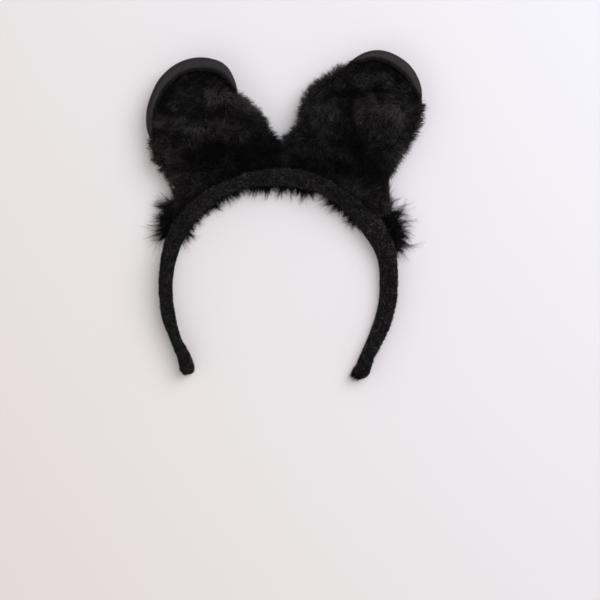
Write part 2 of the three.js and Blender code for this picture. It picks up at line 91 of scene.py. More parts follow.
def centripetal(points, per=24, closed=False):
    """Dense points of a centripetal Catmull-Rom curve, and the index along the control points of each."""
    p = np.asarray(points, float)
    n = len(p)
    out, idx = [], []
    spans = n if closed else n - 1
    for i in range(spans):
        if closed:
            p0, p1, p2, p3 = p[(i - 1) % n], p[i], p[(i + 1) % n], p[(i + 2) % n]
        else:
            p1, p2 = p[i], p[i + 1]
            p0 = p[i - 1] if i > 0 else 2 * p1 - p2
            p3 = p[i + 2] if i + 2 < n else 2 * p2 - p1
        d = [max(np.linalg.norm(b - a) ** 0.5, 1e-4) for a, b in ((p0, p1), (p1, p2), (p2, p3))]
        t1 = (p1 - p0) / d[0] - (p2 - p0) / (d[0] + d[1]) + (p2 - p1) / d[1]
        t2 = (p2 - p1) / d[1] - (p3 - p1) / (d[1] + d[2]) + (p3 - p2) / d[2]
        t1, t2 = t1 * d[1], t2 * d[1]
        last = (i == spans - 1) and not closed
        for k in range(per + (1 if last else 0)):
            t = k / per
            out.append(p1 + t1 * t + (-3 * p1 + 3 * p2 - 2 * t1 - t2) * t * t + (2 * p1 - 2 * p2 + t1 + t2) * t ** 3)
            idx.append(i + t)
    return np.array(out), np.array(idx)


def hash01(*keys):
    """Repeatable numbers in 0..1 from whole-number keys."""
    h = np.zeros(np.broadcast(*keys).shape, np.uint64)
    for i, k in enumerate(keys):
        h = (h ^ (np.asarray(k).astype(np.int64).astype(np.uint64) + np.uint64(0x9E3779B97F4A7C15 >> (i % 3)))) * np.uint64(0xBF58476D1CE4E5B9)
        h = h ^ (h >> np.uint64(29))
    h = h * np.uint64(0x94D049BB133111EB)
    h = h ^ (h >> np.uint64(32))
    return (h & np.uint64(0xFFFFFF)).astype(float) / float(0x1000000)


def noise2(x, y, scale, seed=0):
    """Smooth value noise in -1..1."""
    u, v = np.asarray(x) / scale, np.asarray(y) / scale
    i, j = np.floor(u), np.floor(v)
    fu, fv = u - i, v - j
    fu, fv = fu * fu * (3 - 2 * fu), fv * fv * (3 - 2 * fv)
    g = lambda a, b: hash01(i + a + 5000, j + b + 5000, np.full_like(i, seed)) * 2 - 1
    return (g(0, 0) * (1 - fu) + g(1, 0) * fu) * (1 - fv) + (g(0, 1) * (1 - fu) + g(1, 1) * fu) * fv


def segment_distance(x, y, line):
    best = np.full(np.shape(x), 1e9)
    for (ax, ay), (bx, by) in zip(line[:-1], line[1:]):
        dx, dy = bx - ax, by - ay
        t = np.clip(((x - ax) * dx + (y - ay) * dy) / (dx * dx + dy * dy + 1e-9), 0, 1)
        best = np.minimum(best, np.hypot(x - ax - t * dx, y - ay - t * dy))
    return best


def make_mesh(name, verts, tris=None, quads=None, slots=None, smooth=True, materials=()):
    """A mesh object from drafting-frame millimetres."""
    co = (np.asarray(verts, float) + SHIFT) * MM
    me = bpy.data.meshes.new(name)
    me.vertices.add(len(co))
    me.vertices.foreach_set("co", co.astype(np.float32).ravel())
    tris = np.zeros((0, 3), int) if tris is None else np.asarray(tris, int)
    quads = np.zeros((0, 4), int) if quads is None else np.asarray(quads, int)
    loops = np.concatenate([quads.ravel(), tris.ravel()]).astype(np.int32)
    starts = np.concatenate([np.arange(len(quads)) * 4, len(quads) * 4 + np.arange(len(tris)) * 3]).astype(np.int32)
    me.loops.add(len(loops))
    me.loops.foreach_set("vertex_index", loops)
    me.polygons.add(len(starts))
    me.polygons.foreach_set("loop_start", starts)
    if slots is not None:
        me.polygons.foreach_set("material_index", np.asarray(slots, np.int32))
    me.polygons.foreach_set("use_smooth", np.full(len(starts), smooth))
    for m in materials:
        me.materials.append(m)
    me.update(calc_edges=True)
    me.validate()
    ob = bpy.data.objects.new(name, me)
    bpy.context.scene.collection.objects.link(ob)
    return ob


def grid_quads(rows, cols, closed_cols=True, offset=0):
    i = np.arange(rows - 1)[:, None]
    j = np.arange(cols if closed_cols else cols - 1)[None, :]
    k = (j + 1) % cols
    return (np.stack([i * cols + j, i * cols + k, (i + 1) * cols + k, (i + 1) * cols + j], -1).reshape(-1, 4) + offset)


def fan(ring_start, n, centre, flip=False):
    j = np.arange(n)
    k = (j + 1) % n
    a = np.stack([np.full(n, centre), ring_start + (k if flip else j), ring_start + (j if flip else k)], -1)
    return a


# ------------------------------------------------------------------ materials
def material(name, base, rough=0.8, specular=0.3, sheen=0.0, sheen_tint=(1, 1, 1), sheen_rough=0.5):
    m = bpy.data.materials.new(name)
    m.use_nodes = True
    p = m.node_tree.nodes["Principled BSDF"]
    p.inputs["Base Color"].default_value = (*base, 1)
    p.inputs["Roughness"].default_value = rough
    p.inputs["Specular IOR Level"].default_value = specular
    p.inputs["Sheen Weight"].default_value = sheen
    p.inputs["Sheen Roughness"].default_value = sheen_rough
    p.inputs["Sheen Tint"].default_value = (*sheen_tint, 1)
    return m, p, m.node_tree


def node(tree, kind, **values):
    n = tree.nodes.new(kind)
    for k, v in values.items():
        if k in n.inputs:
            n.inputs[k].default_value = v
        else:
            setattr(n, k, v)
    return n


def noise_colour(tree, p, a, b, scale, detail=4, low=0.35, high=0.65):
    """Base colour that varies between a and b with object-space noise."""
    tc = node(tree, "ShaderNodeTexCoord")
    nz = node(tree, "ShaderNodeTexNoise", Scale=scale, Detail=detail)
    ramp = tree.nodes.new("ShaderNodeValToRGB")
    ramp.color_ramp.elements[0].position, ramp.color_ramp.elements[1].position = low, high
    ramp.color_ramp.elements[0].color, ramp.color_ramp.elements[1].color = (*a, 1), (*b, 1)
    tree.links.new(tc.outputs["Object"], nz.inputs["Vector"])
    tree.links.new(nz.outputs["Fac"], ramp.inputs["Fac"])
    tree.links.new(ramp.outputs["Color"], p.inputs["Base Color"])
    return tc, nz


def tuple_ramp(tree, a, b):
    ramp = tree.nodes.new("ShaderNodeValToRGB")
    ramp.color_ramp.elements[0].color, ramp.color_ramp.elements[1].color = (*a, 1), (*b, 1)
    return ramp


def velvet_material():
    m, p, t = material("black_velvet", (0.008, 0.007, 0.007), rough=0.9, specular=0.08, sheen=0.03, sheen_rough=0.5)
    tc, nz = noise_colour(t, p, (0.0022, 0.0020, 0.0020), (0.0260, 0.0232, 0.0232), 1150, 2, 0.42, 0.66)
    fine = node(t, "ShaderNodeTexNoise", Scale=2600.0, Detail=2.0)
    bump = node(t, "ShaderNodeBump", Strength=0.6, Distance=0.0003)
    t.links.new(tc.outputs["Object"], fine.inputs["Vector"])
    t.links.new(fine.outputs["Fac"], bump.inputs["Height"])
    t.links.new(bump.outputs["Normal"], p.inputs["Normal"])
    return m


def plush_skin_material():
    m, p, t = material("black_plush_backing", (0.004, 0.004, 0.004), rough=0.95, specular=0.05)
    tc, nz = noise_colour(t, p, (0.002, 0.002, 0.002), (0.006, 0.0055, 0.0055), 700, 4)
    knit = node(t, "ShaderNodeTexVoronoi", Scale=1400.0)
    bump = node(t, "ShaderNodeBump", Strength=0.5, Distance=0.0004)
    t.links.new(tc.outputs["Object"], knit.inputs["Vector"])
    t.links.new(knit.outputs["Distance"], bump.inputs["Height"])
    t.links.new(bump.outputs["Normal"], p.inputs["Normal"])
    return m


def satin_material():
    """Fine satin: a dense diagonal weave and a soft brownish sheen."""
    m, p, t = material("black_satin", (0.012, 0.010, 0.0115), rough=0.55, specular=0.26, sheen=0.035, sheen_tint=(1, 0.86, 0.88), sheen_rough=0.4)
    tc, nz = noise_colour(t, p, (0.0078, 0.0059, 0.0067), (0.0148, 0.0112, 0.0126), 160, 5, 0.3, 0.7)
    waves = []
    for angle in (0.6, 2.17):
        mp = node(t, "ShaderNodeMapping")
        mp.inputs["Rotation"].default_value = (0, 0, angle)
        w = node(t, "ShaderNodeTexWave", Scale=620.0, Distortion=1.2, Detail=1.0)
        w.wave_type, w.bands_direction = "BANDS", "X"
        t.links.new(tc.outputs["Object"], mp.inputs["Vector"])
        t.links.new(mp.outputs["Vector"], w.inputs["Vector"])
        waves.append(w)
    mix = node(t, "ShaderNodeMath", operation="MULTIPLY")
    t.links.new(waves[0].outputs["Fac"], mix.inputs[0])
    t.links.new(waves[1].outputs["Fac"], mix.inputs[1])
    bump = node(t, "ShaderNodeBump", Strength=0.35, Distance=0.00012)
    t.links.new(mix.outputs[0], bump.inputs["Height"])
    big = node(t, "ShaderNodeTexNoise", Scale=90.0, Detail=3.0)
    bump2 = node(t, "ShaderNodeBump", Strength=0.25, Distance=0.0012)
    t.links.new(tc.outputs["Object"], big.inputs["Vector"])
    t.links.new(big.outputs["Fac"], bump2.inputs["Height"])
    t.links.new(bump.outputs["Normal"], bump2.inputs["Normal"])
    t.links.new(bump2.outputs["Normal"], p.inputs["Normal"])
    rough = node(t, "ShaderNodeMapRange")
    for k, v in (("From Min", 0.3), ("From Max", 0.7), ("To Min", 0.46), ("To Max", 0.60)):
        rough.inputs[k].default_value = v
    t.links.new(nz.outputs["Fac"], rough.inputs["Value"])
    t.links.new(rough.outputs["Result"], p.inputs["Roughness"])
    return m


def hidden_material(name, a, b, scale, rough, specular, height):
    m, p, t = material(name, a, rough=rough, specular=specular)
    tc, nz = noise_colour(t, p, a, b, scale)
    bump = node(t, "ShaderNodeBump", Strength=0.7, Distance=height)
    t.links.new(nz.outputs["Fac"], bump.inputs["Height"])
    t.links.new(bump.outputs["Normal"], p.inputs["Normal"])
    return m


VELVET = velvet_material()
PLUSH_SKIN = plush_skin_material()
SATIN = satin_material()
FOAM = hidden_material("grey_foam", (0.03, 0.03, 0.032), (0.07, 0.07, 0.074), 1500, 0.95, 0.1, 0.0004)
WADDING = hidden_material("white_wadding", (0.62, 0.62, 0.6), (0.82, 0.82, 0.8), 600, 1.0, 0.1, 0.0008)
PLASTIC = hidden_material("black_spring_plastic", (0.010, 0.010, 0.010), (0.014, 0.014, 0.014), 300, 0.42, 0.5, 0.00005)
THREAD = hidden_material("black_thread", (0.004, 0.004, 0.004), (0.011, 0.011, 0.011), 3000, 0.8, 0.2, 0.0002)


def strand_set(name, shades, rough, specular, sheen=0.0):
    return [material(f"{name}_{i}", s, rough=rough, specular=specular, sheen=sheen)[0] for i, s in enumerate(shades)]


# The last and lightest pile shade is a painted highlight, for single hairs that catch the light.
PILE = strand_set("plush_pile", [(0.0018, 0.0017, 0.0018), (0.0058, 0.0050, 0.0048), (0.0053, 0.0053, 0.0058), (0.0125, 0.0106, 0.0102),
                                 (0.0114, 0.0114, 0.0124), (0.0270, 0.0232, 0.0222), (0.0245, 0.0245, 0.0268), (0.0720, 0.0640, 0.0620)], 0.66, 0.16)
NAP = strand_set("velvet_nap", [(0.0014, 0.0013, 0.0013), (0.0060, 0.0053, 0.0054), (0.0205, 0.0182, 0.0182), (0.0760, 0.0685, 0.0680)], 0.8, 0.1)
BARB = strand_set("down_barb", [(0.0022, 0.0021, 0.0023), (0.0056, 0.0052, 0.0057), (0.0140, 0.0128, 0.0138)], 0.8, 0.1)


# ------------------------------------------------------------------ strands
def strands(name, root, direction, length, width, tip_pull, bend, slots, materials, segments=3, seed=1, taper=0.12, floor=0.25):
    """Flat tapered hairs as mesh. tip_pull moves the free end; bend is a sideways curl. All in mm."""
    n = len(root)
    rng = np.random.default_rng(seed)
    side = unit(np.cross(direction, unit(rng.normal(size=(n, 3)))))
    verts = []
    tip = root + direction * length[:, None] + tip_pull
    for k in range(segments + 1):
        f = k / segments
        p = root * (1 - f) ** 2 + (root + direction * (length * 0.62)[:, None] + bend) * 2 * f * (1 - f) + tip * f * f
        p[:, 2] = np.maximum(p[:, 2], floor)
        if k < segments:
            w = (width * (1 - f * (1 - taper)) * 0.5)[:, None]
            verts += [p - side * w, p + side * w]
        else:
            verts += [p]
    m = 2 * segments + 1
    co = np.stack(verts, 1).reshape(-1, 3)
    base = (np.arange(n) * m)[:, None]
    tris = []
    for k in range(segments - 1):
        a, b, c, d = 2 * k, 2 * k + 1, 2 * k + 3, 2 * k + 2
        tris += [base + np.array([[a, b, c]]), base + np.array([[a, c, d]])]
    tris += [base + np.array([[m - 3, m - 2, m - 1]])]
    per = len(tris)
    tri = np.stack(tris, 1).reshape(-1, 3)
    return make_mesh(name, co, tris=tri, slots=np.repeat(slots, per), materials=materials)


def sample_surface(verts, quads, count, rng, weight=None):
    """Random points on quads, with interpolated normals. weight: per-quad density factor."""
    v = verts
    tri = np.concatenate([quads[:, [0, 1, 2]], quads[:, [0, 2, 3]]])
    a, b, c = v[tri[:, 0]], v[tri[:, 1]], v[tri[:, 2]]
    cr = np.cross(b - a, c - a)
    area = np.linalg.norm(cr, axis=1) / 2
    vn = np.zeros_like(v)
    for k in range(3):
        np.add.at(vn, tri[:, k], cr)
    vn = unit(vn)
    w = area if weight is None else area * np.concatenate([weight, weight])
    pick = rng.choice(len(tri), size=count, p=w / w.sum())
    r1, r2 = np.sqrt(rng.random(count)), rng.random(count)
    u0, u1, u2 = 1 - r1, r1 * (1 - r2), r1 * r2
    t = tri[pick]
    pos = v[t[:, 0]] * u0[:, None] + v[t[:, 1]] * u1[:, None] + v[t[:, 2]] * u2[:, None]
    nor = unit(vn[t[:, 0]] * u0[:, None] + vn[t[:, 1]] * u1[:, None] + vn[t[:, 2]] * u2[:, None])
    return pos, nor


def clump_pull(x, y, cell, strength, seed, z=None):
    """Vector in the plan from each root towards the middle of its clump."""
    best = np.full(len(x), 1e9)
    px, py = np.zeros(len(x)), np.zeros(len(x))
    wx = x + noise2(x, y, cell * 3, seed + 7) * cell * 0.5
    wy = y + noise2(x, y, cell * 3, seed + 8) * cell * 0.5
    ci, cj = np.floor(wx / cell), np.floor(wy / cell)
    for a in (-1, 0, 1):
        for b in (-1, 0, 1):
            i, j = ci + a, cj + b
            qx = (i + hash01(i + 9000, j + 9000, np.full_like(i, seed))) * cell
            qy = (j + hash01(i + 9000, j + 9000, np.full_like(i, seed + 1))) * cell
            d = np.hypot(wx - qx, wy - qy)
            m = d < best
            best[m], px[m], py[m] = d[m], (qx - wx)[m], (qy - wy)[m]
    return np.stack([px * strength, py * strength, np.zeros_like(px)], -1)


# ------------------------------------------------------------------ camera, floor, light
scene = bpy.context.scene
scene.view_settings.view_transform = "Standard"
scene.view_settings.look = "None"
AIM = (np.array([9.5, -51.9, 0]) + SHIFT) * MM
cam = bpy.data.objects.new("camera", bpy.data.cameras.new("camera"))
cam.data.sensor_width, cam.data.lens = 36.0, 88.5
cam.data.clip_end = 20
cam.location = (AIM[0], AIM[1], 0.910)
cam.rotation_euler = (0, 0, 0)
scene.collection.objects.link(cam)
scene.camera = cam


def floor_material():
    """Plain pale cloth with painted light falloff: brighter and cooler towards the window, warmer and darker away from
    it.
    """
    m, p, t = material("pale_cloth_painted_falloff", (0.82, 0.78, 0.78), rough=0.9, specular=0.1)
    # Painted light: the base colour ramps across the floor along the direction of the window light.
    geo = node(t, "ShaderNodeNewGeometry")
    across = node(t, "ShaderNodeVectorMath", operation="DOT_PRODUCT")
    across.inputs[1].default_value = (0.85, 0.50, 0.0)
    ramp = tuple_ramp(t, (0.806, 0.748, 0.722), (0.842, 0.832, 0.880))
    scale = node(t, "ShaderNodeMapRange")
    for k, v in (("From Min", -0.26), ("From Max", 0.24), ("To Min", 0.0), ("To Max", 1.0)):
        scale.inputs[k].default_value = v
    t.links.new(geo.outputs["Position"], across.inputs[0])
    t.links.new(across.outputs["Value"], scale.inputs["Value"])
    t.links.new(scale.outputs["Result"], ramp.inputs["Fac"])
    t.links.new(ramp.outputs["Color"], p.inputs["Base Color"])
    return m


bpy.ops.mesh.primitive_plane_add(size=6, location=(AIM[0], AIM[1], 0))
floor = bpy.context.object
floor.name = "pale_floor"
floor.data.materials.append(floor_material())

world = bpy.data.worlds.new("soft_room")
scene.world = world
world.use_nodes = True
world.node_tree.nodes["Background"].inputs["Color"].default_value = (1.0, 0.985, 0.98, 1)
world.node_tree.nodes["Background"].inputs["Strength"].default_value = 0.44


def area_light(name, place, target, size, power, colour=(1, 1, 1)):
    lamp = bpy.data.lights.new(name, "AREA")
    lamp.shape, lamp.size, lamp.energy, lamp.color = "DISK", size, power, colour
    ob = bpy.data.objects.new(name, lamp)
    ob.location = place
    ob.rotation_euler = (Vector(target) - Vector(place)).to_track_quat("-Z", "Y").to_euler()
    scene.collection.objects.link(ob)
    return ob


area_light("window", (0.90, 0.70, 1.35), (0.02, -0.02, 0), 1.5, 17.0, (0.97, 0.985, 1.04))
area_light("overhead", (0.20, 0.20, 1.9), (0.02, -0.02, 0), 1.2, 7.6)
area_light("fill", (-1.1, -1.1, 1.7), (0, -0.03, 0), 1.6, 5.0, (1.0, 0.94, 0.88))


# ------------------------------------------------------------------ the band
line, at_index = centripetal(BAND[:, :2], per=40)
step = np.linalg.norm(np.diff(line, axis=0), axis=1)
run = np.concatenate([[0], np.cumsum(step)])
BAND_LENGTH = run[-1]


def evened(v):
    p = np.concatenate([v[:1], v, v[-1:]])
    return (p[:-2] + 2 * v + p[2:]) / 4


thin_raw = np.minimum(SLEEVE_T, BAND[:, 2])
THIN = evened(evened(thin_raw))
TILT = evened(evened(np.arcsin(np.sqrt(np.clip((BAND[:, 2] ** 2 - thin_raw ** 2) / (SLEEVE_W ** 2 - thin_raw ** 2), 0, 1)))))


def arc_of_index(i):
    return float(np.interp(i, at_index, run))


def superellipse(halfw, halft, power, n):
    a = (np.arange(n) + 0.5) / n * 2 * np.pi
    c, s = np.cos(a), np.sin(a)
    return halfw * np.sign(c) * np.abs(c) ** power, halft * np.sign(s) * np.abs(s) ** power


def band_at(s):
    """Frame of the band at arc length s in mm."""
    s = np.clip(s, 0, BAND_LENGTH)
    p = np.array([np.interp(s, run, line[:, 0]), np.interp(s, run, line[:, 1])])
    e = 0.4
    q0 = np.array([np.interp(max(s - e, 0), run, line[:, k]) for k in (0, 1)])
    q1 = np.array([np.interp(min(s + e, BAND_LENGTH), run, line[:, k]) for k in (0, 1)])
    t = (q1 - q0) / np.linalg.norm(q1 - q0)
    out = np.array([-t[1], t[0]])
    i = np.interp(s, run, at_index)
    k = np.arange(len(BAND))
    tilt, thin, seen = np.interp(i, k, TILT), np.interp(i, k, THIN), np.interp(i, k, BAND[:, 2])
    end = min(s, BAND_LENGTH - s)
    wide = SLEEVE_W - 1.2 * max(0, 1 - end / 20)
    a, b = superellipse(wide / 2, thin / 2, 0.85, 12)
    lowest = np.min(a * math.cos(tilt) - b * math.sin(tilt))
    across = a * math.sin(tilt) + b * math.cos(tilt)
    squeeze = seen / (across.max() - across.min())
    z = CROWN_LIFT * float(smoothstep(end, 15, 125)) - lowest
    return {"p": p, "t": t, "out": out, "tilt": tilt, "thin": thin, "wide": wide, "z": z, "seen": seen / 2, "end": end, "squeeze": squeeze}


RING = 56
CREASE = [(36.3, 12.8), (43.5, 4.5), (48.5, -2.0), (52.0, -7.5)]  # fold in the velvet at the right shoulder


NAP_DEPTH = 0.45  # the pile stands this far off the sleeve's skin, in mm
SEAM_DIP = 0.35  # how far below level the seam sits, in radians


def section(f, ang, share=1.0):
    """Points on the band's flat oval section at the given angles."""
    c, s = np.cos(ang), np.sin(ang)
    a = (f["wide"] / 2 - NAP_DEPTH) * share * np.sign(c) * np.abs(c) ** 0.9
    b = (f["thin"] / 2 - NAP_DEPTH) * share * np.sign(s) * np.abs(s) ** 0.9
    out = np.array([f["out"][0], f["out"][1], 0.0]) * f["squeeze"]
    up = np.array([0.0, 0.0, 1.0])
    wide_dir = out * math.sin(f["tilt"]) + up * math.cos(f["tilt"])
    thin_dir = out * math.cos(f["tilt"]) - up * math.sin(f["tilt"])
    return np.array([*f["p"], f["z"]]) + a[:, None] * wide_dir + b[:, None] * thin_dir


def seam_angle(f):
    """Where the seam runs on the section: low on the side that faces the head."""
    ang = np.linspace(0, 2 * np.pi, 361)[:-1]
    facing = np.array([-f["out"][0] * math.cos(SEAM_DIP), -f["out"][1] * math.cos(SEAM_DIP), -math.sin(SEAM_DIP)])
    return ang[np.argmax(section(f, ang) @ facing)]


def sleeve_ring(s, dome=0.0):
    """One ring of the velvet sleeve. dome runs 0..1 over the rounded end."""
    f = band_at(s)
    k = math.sqrt(max(0.0, 1 - dome ** 2.4))
    ang = (np.arange(RING) + 0.5) / RING * 2 * np.pi
    pts = section(f, ang, max(k, 0.02))
    c = np.array([f["p"][0], f["p"][1], f["z"]])
    # The cover isn't quite even: shallow drag lines and soft spots in the foam.
    lump = 0.16 * noise2(np.full(RING, s), np.cos(ang) * 9 + 40, 7.0, 11) + 0.10 * noise2(np.full(RING, s) + np.sin(ang) * 4, np.sin(ang) * 7 + 90, 3.0, 12)
    outward = unit(pts - c)
    pts = pts + outward * (lump * (1 - dome))[:, None]
    # The seam side is drawn in a little.
    turn = (ang - seam_angle(f) + np.pi) % (2 * np.pi) - np.pi
    seam = np.exp(-(turn / 0.16) ** 2)
    pts = pts + outward * (-0.35 * seam * (1 - dome))[:, None]
    # Fold line at the right shoulder.
    d = segment_distance(pts[:, 0], pts[:, 1], CREASE)
    top = smoothstep(outward[:, 2], -0.1, 0.25)
    pts[:, 2] -= 1.15 * np.exp(-(d / 0.75) ** 2) * top
    side = (pts[:, 0] - 44) * 0.62 + (pts[:, 1] - 3) * 0.78
    pts[:, 2] += 0.55 * np.exp(-((d - 1.6) / 1.3) ** 2) * top * (side > 0)
    return pts, outward


def build_sleeve(name, s_tip, s_mid, flare=None):
    """Closed velvet sleeve from a tip to the middle of the crown, as one skin."""
    direction = 1 if s_mid > s_tip else -1
    total = abs(s_mid - s_tip)
    dome_len = 4.6
    domes = np.array([0.995, 0.97, 0.92, 0.84, 0.72, 0.58, 0.42, 0.26, 0.12])
    spans = [(s_tip + direction * dome_len * (1 - d), d) for d in domes]
    n = int(total / 1.25)
    spans += [(s_tip + direction * (dome_len + (total - dome_len) * k / n), 0.0) for k in range(n + 1)]
    rings, outs = [], []
    for s, d in spans:
        p, o = sleeve_ring(s, d)
        rings.append(p)
        outs.append(o)
    rings = np.array(rings)
    if flare is not None:
        rings = flare(rings, np.array([s for s, _ in spans]), np.array([d for _, d in spans]))
    rings[:, :, 2] = np.maximum(rings[:, :, 2], 0.05)
    rows = len(rings)
    verts = rings.reshape(-1, 3)
    caps = np.array([rings[0].mean(0), rings[-1].mean(0)])
    quads = grid_quads(rows, RING)
    tris = np.concatenate([fan(0, RING, len(verts)), fan((rows - 1) * RING, RING, len(verts) + 1, True)])
    verts = np.concatenate([verts, caps])
    if direction < 0:
        quads, tris = quads[:, ::-1], tris[:, ::-1]
    # face outwards
    v = verts[quads[:, 0]]
    centre = rings.mean(1)[np.clip(quads[:, 0] // RING, 0, rows - 1)]
    nrm = np.cross(verts[quads[:, 1]] - verts[quads[:, 0]], verts[quads[:, 2]] - verts[quads[:, 0]])
    if np.mean(np.sum(nrm * (v - centre), 1)) < 0:
        quads, tris = quads[:, ::-1], tris[:, ::-1]
    ob = make_mesh(name, verts, tris=tris, quads=quads, materials=[VELVET])
    # The cut end in the middle of the crown keeps a crisp edge, so that no line shows where the two halves meet.
    last = (rows - 1) * RING
    ends = np.empty(len(ob.data.edges) * 2, np.int32)
    ob.data.edges.foreach_get("vertices", ends)
    ends = ends.reshape(-1, 2)
    crisp = ((ends >= last) & (ends < last + RING)).all(1)
    mark = ob.data.attributes.new("sharp_edge", "BOOLEAN", "EDGE")
    mark.data.foreach_set("value", crisp)
    return ob, verts, quads


def left_flare(rings, s, dome):
    """The left end: a soft bulb with a small pinch at its bottom."""
    k = smoothstep(11 - s, 0, 9)
    c = rings.mean(1, keepdims=True)
    t = band_at(0.5)
    out = np.array([*t["out"], 0.0])
    off = (rings - c) @ out
    rings = rings + out * (off * 0.04 * k[:, None])[:, :, None]
    pinch = np.exp(-(((rings - np.array([-59.0, -98.0, 0])) @ out) / 0.8) ** 2) * smoothstep(dome, 0.6, 0.97)[:, None]
    along = np.array([*t["t"], 0.0])
    return rings + along * (0.7 * pinch)[:, :, None]


def right_flare(rings, s, dome):
    """The right end: spread wide and cut on a slant."""
    e = BAND_LENGTH - s
    k = smoothstep(9 - e, 0, 8)
    c = rings.mean(1, keepdims=True)
    t = band_at(BAND_LENGTH - 0.5)
    out = np.array([*t["out"], 0.0])
    along = np.array([*t["t"], 0.0])
    off = (rings - c) @ out
    rings = rings + out * (off * 0.22 * k[:, None])[:, :, None]
    inner = np.clip(-off / 5.5, -1, 1)
    return rings + along * (inner * 1.3 * k[:, None])[:, :, None] - out * (1.2 * k)[:, None, None]


S_MIDDLE = arc_of_index(21.15)


def place3(s, z=None):
    f = band_at(s)
    p = np.array([f["p"][0], f["p"][1], f["z"] if z is None else z])
    return tuple((p + SHIFT) * MM)


def blend_leg(ob):
    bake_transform(ob)


def nap(name, verts, quads, density, seed, side):
    """Velvet pile: very short upright hairs all over the sleeve, longer and matted at the worn right end."""
    rng = np.random.default_rng(seed)
    tri = verts[quads]
    area = np.linalg.norm(np.cross(tri[:, 2] - tri[:, 0], tri[:, 3] - tri[:, 1]), axis=1).sum() / 2
    n = int(area * density)
    pos, nor = sample_surface(verts, quads, n, rng)
    length = 0.95 * (0.7 + 0.6 * rng.random(n))
    lean = np.stack([noise2(pos[:, 0], pos[:, 1], 1.6, 31), noise2(pos[:, 0], pos[:, 1], 1.6, 32), np.zeros(n)], -1) * 1.3
    worn = np.exp(-(np.hypot(pos[:, 0] - 43.6, pos[:, 1] + 98.8) / 3.4) ** 2)
    length = length * (1 + 2.6 * worn * rng.random(n))
    d = unit(nor * 0.75 + lean + rng.normal(size=(n, 3)) * 0.50 + np.array([-0.5, -0.8, 0.0]) * worn[:, None])
    u, v = pos[:, 0] + 0.6 * pos[:, 2], pos[:, 1] + 0.8 * pos[:, 2]
    grain_and_painted_shade = 1.75 * noise2(u, v, 1.15, 33) + 0.6 * noise2(u, v, 0.6, 34) + 0.8 * noise2(u, v, 4.2, 35) + 0.20 * rng.normal(size=n) - 0.13
    # Painted shade and light on the pile: the left leg is painted darker, and the right side above its tip a little
    # lighter.
    grain_and_painted_shade = grain_and_painted_shade + 0.10 - 0.62 * smoothstep(-pos[:, 0], 10, 60) * smoothstep(-pos[:, 1], -6, 14) + 0.16 * smoothstep(pos[:, 0], 20, 60) * smoothstep(pos[:, 1], -94, -84) - 0.7 * worn
    slot = np.where(grain_and_painted_shade > 1.05, 3, np.where(grain_and_painted_shade > 0.35, 2, np.where(grain_and_painted_shade > -0.4, 1, 0)))
    return strands(name, pos - nor * 0.05, d, length, np.full(n, 0.30), np.zeros((n, 3)), np.zeros((n, 3)), slot, NAP, segments=1, seed=seed, floor=0.05)


sleeves = {}
for side, s_tip, flare in (("left", 0.0, left_flare), ("right", BAND_LENGTH, right_flare)):
    ob, verts, quads = build_sleeve(f"{side}_velvet_sleeve", s_tip, S_MIDDLE, flare)
    blend_leg(ob)
    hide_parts(f"velvet_sleeve_{side}_leg", f"{side}_tip_cap", *(["velvet_sleeve_crown"] if side == "left" else []))
    sleeves[side] = (verts, quads)
    pile = nap(f"{side}_velvet_nap", verts, quads, 5.0, 100 + (side == "right"), side)
    blend_leg(pile)


# ------------------------------------------------------------------ the ears
def px(x, y):
    """A place given on the drafting sheet, to drafting-frame millimetres."""
    return ((x - 284.5) * 0.61, (215 - y) * 0.61)


# Folds in each ear: line, width, height. Positive stands up, negative is a valley.
FOLDS = {
    "left": [
        ([px(150, 122), px(200, 131), px(243, 134)], 3.4, 2.2),
        ([px(205, 144), px(262, 150)], 4.2, -2.0),
        ([px(167, 101), px(177, 85), px(200, 76), px(222, 79), px(231, 93)], 2.8, -2.4),
        ([px(212, 97), px(236, 98), px(250, 106)], 2.6, 2.6),
        ([px(160, 150), px(184, 184)], 6.0, 1.2),
        ([px(196, 118), px(240, 120)], 4.0, -1.0),
    ],
    "right": [
        ([px(360, 62), px(384, 67), px(400, 79)], 2.4, -2.4),
        ([px(367, 84), px(392, 82)], 2.8, 1.8),
        ([px(333, 93), px(352, 92), px(388, 93)], 1.9, -3.0),
        ([px(351, 95), px(352, 121)], 2.2, -2.4),
        ([px(366, 112), px(400, 108)], 6.0, 1.8),
        ([px(320, 116), px(342, 128)], 6.0, 1.4),
        ([px(350, 136), px(374, 172)], 7.0, -2.0),
        ([px(398, 115), px(398, 155)], 5.0, 0.8),
    ],
}
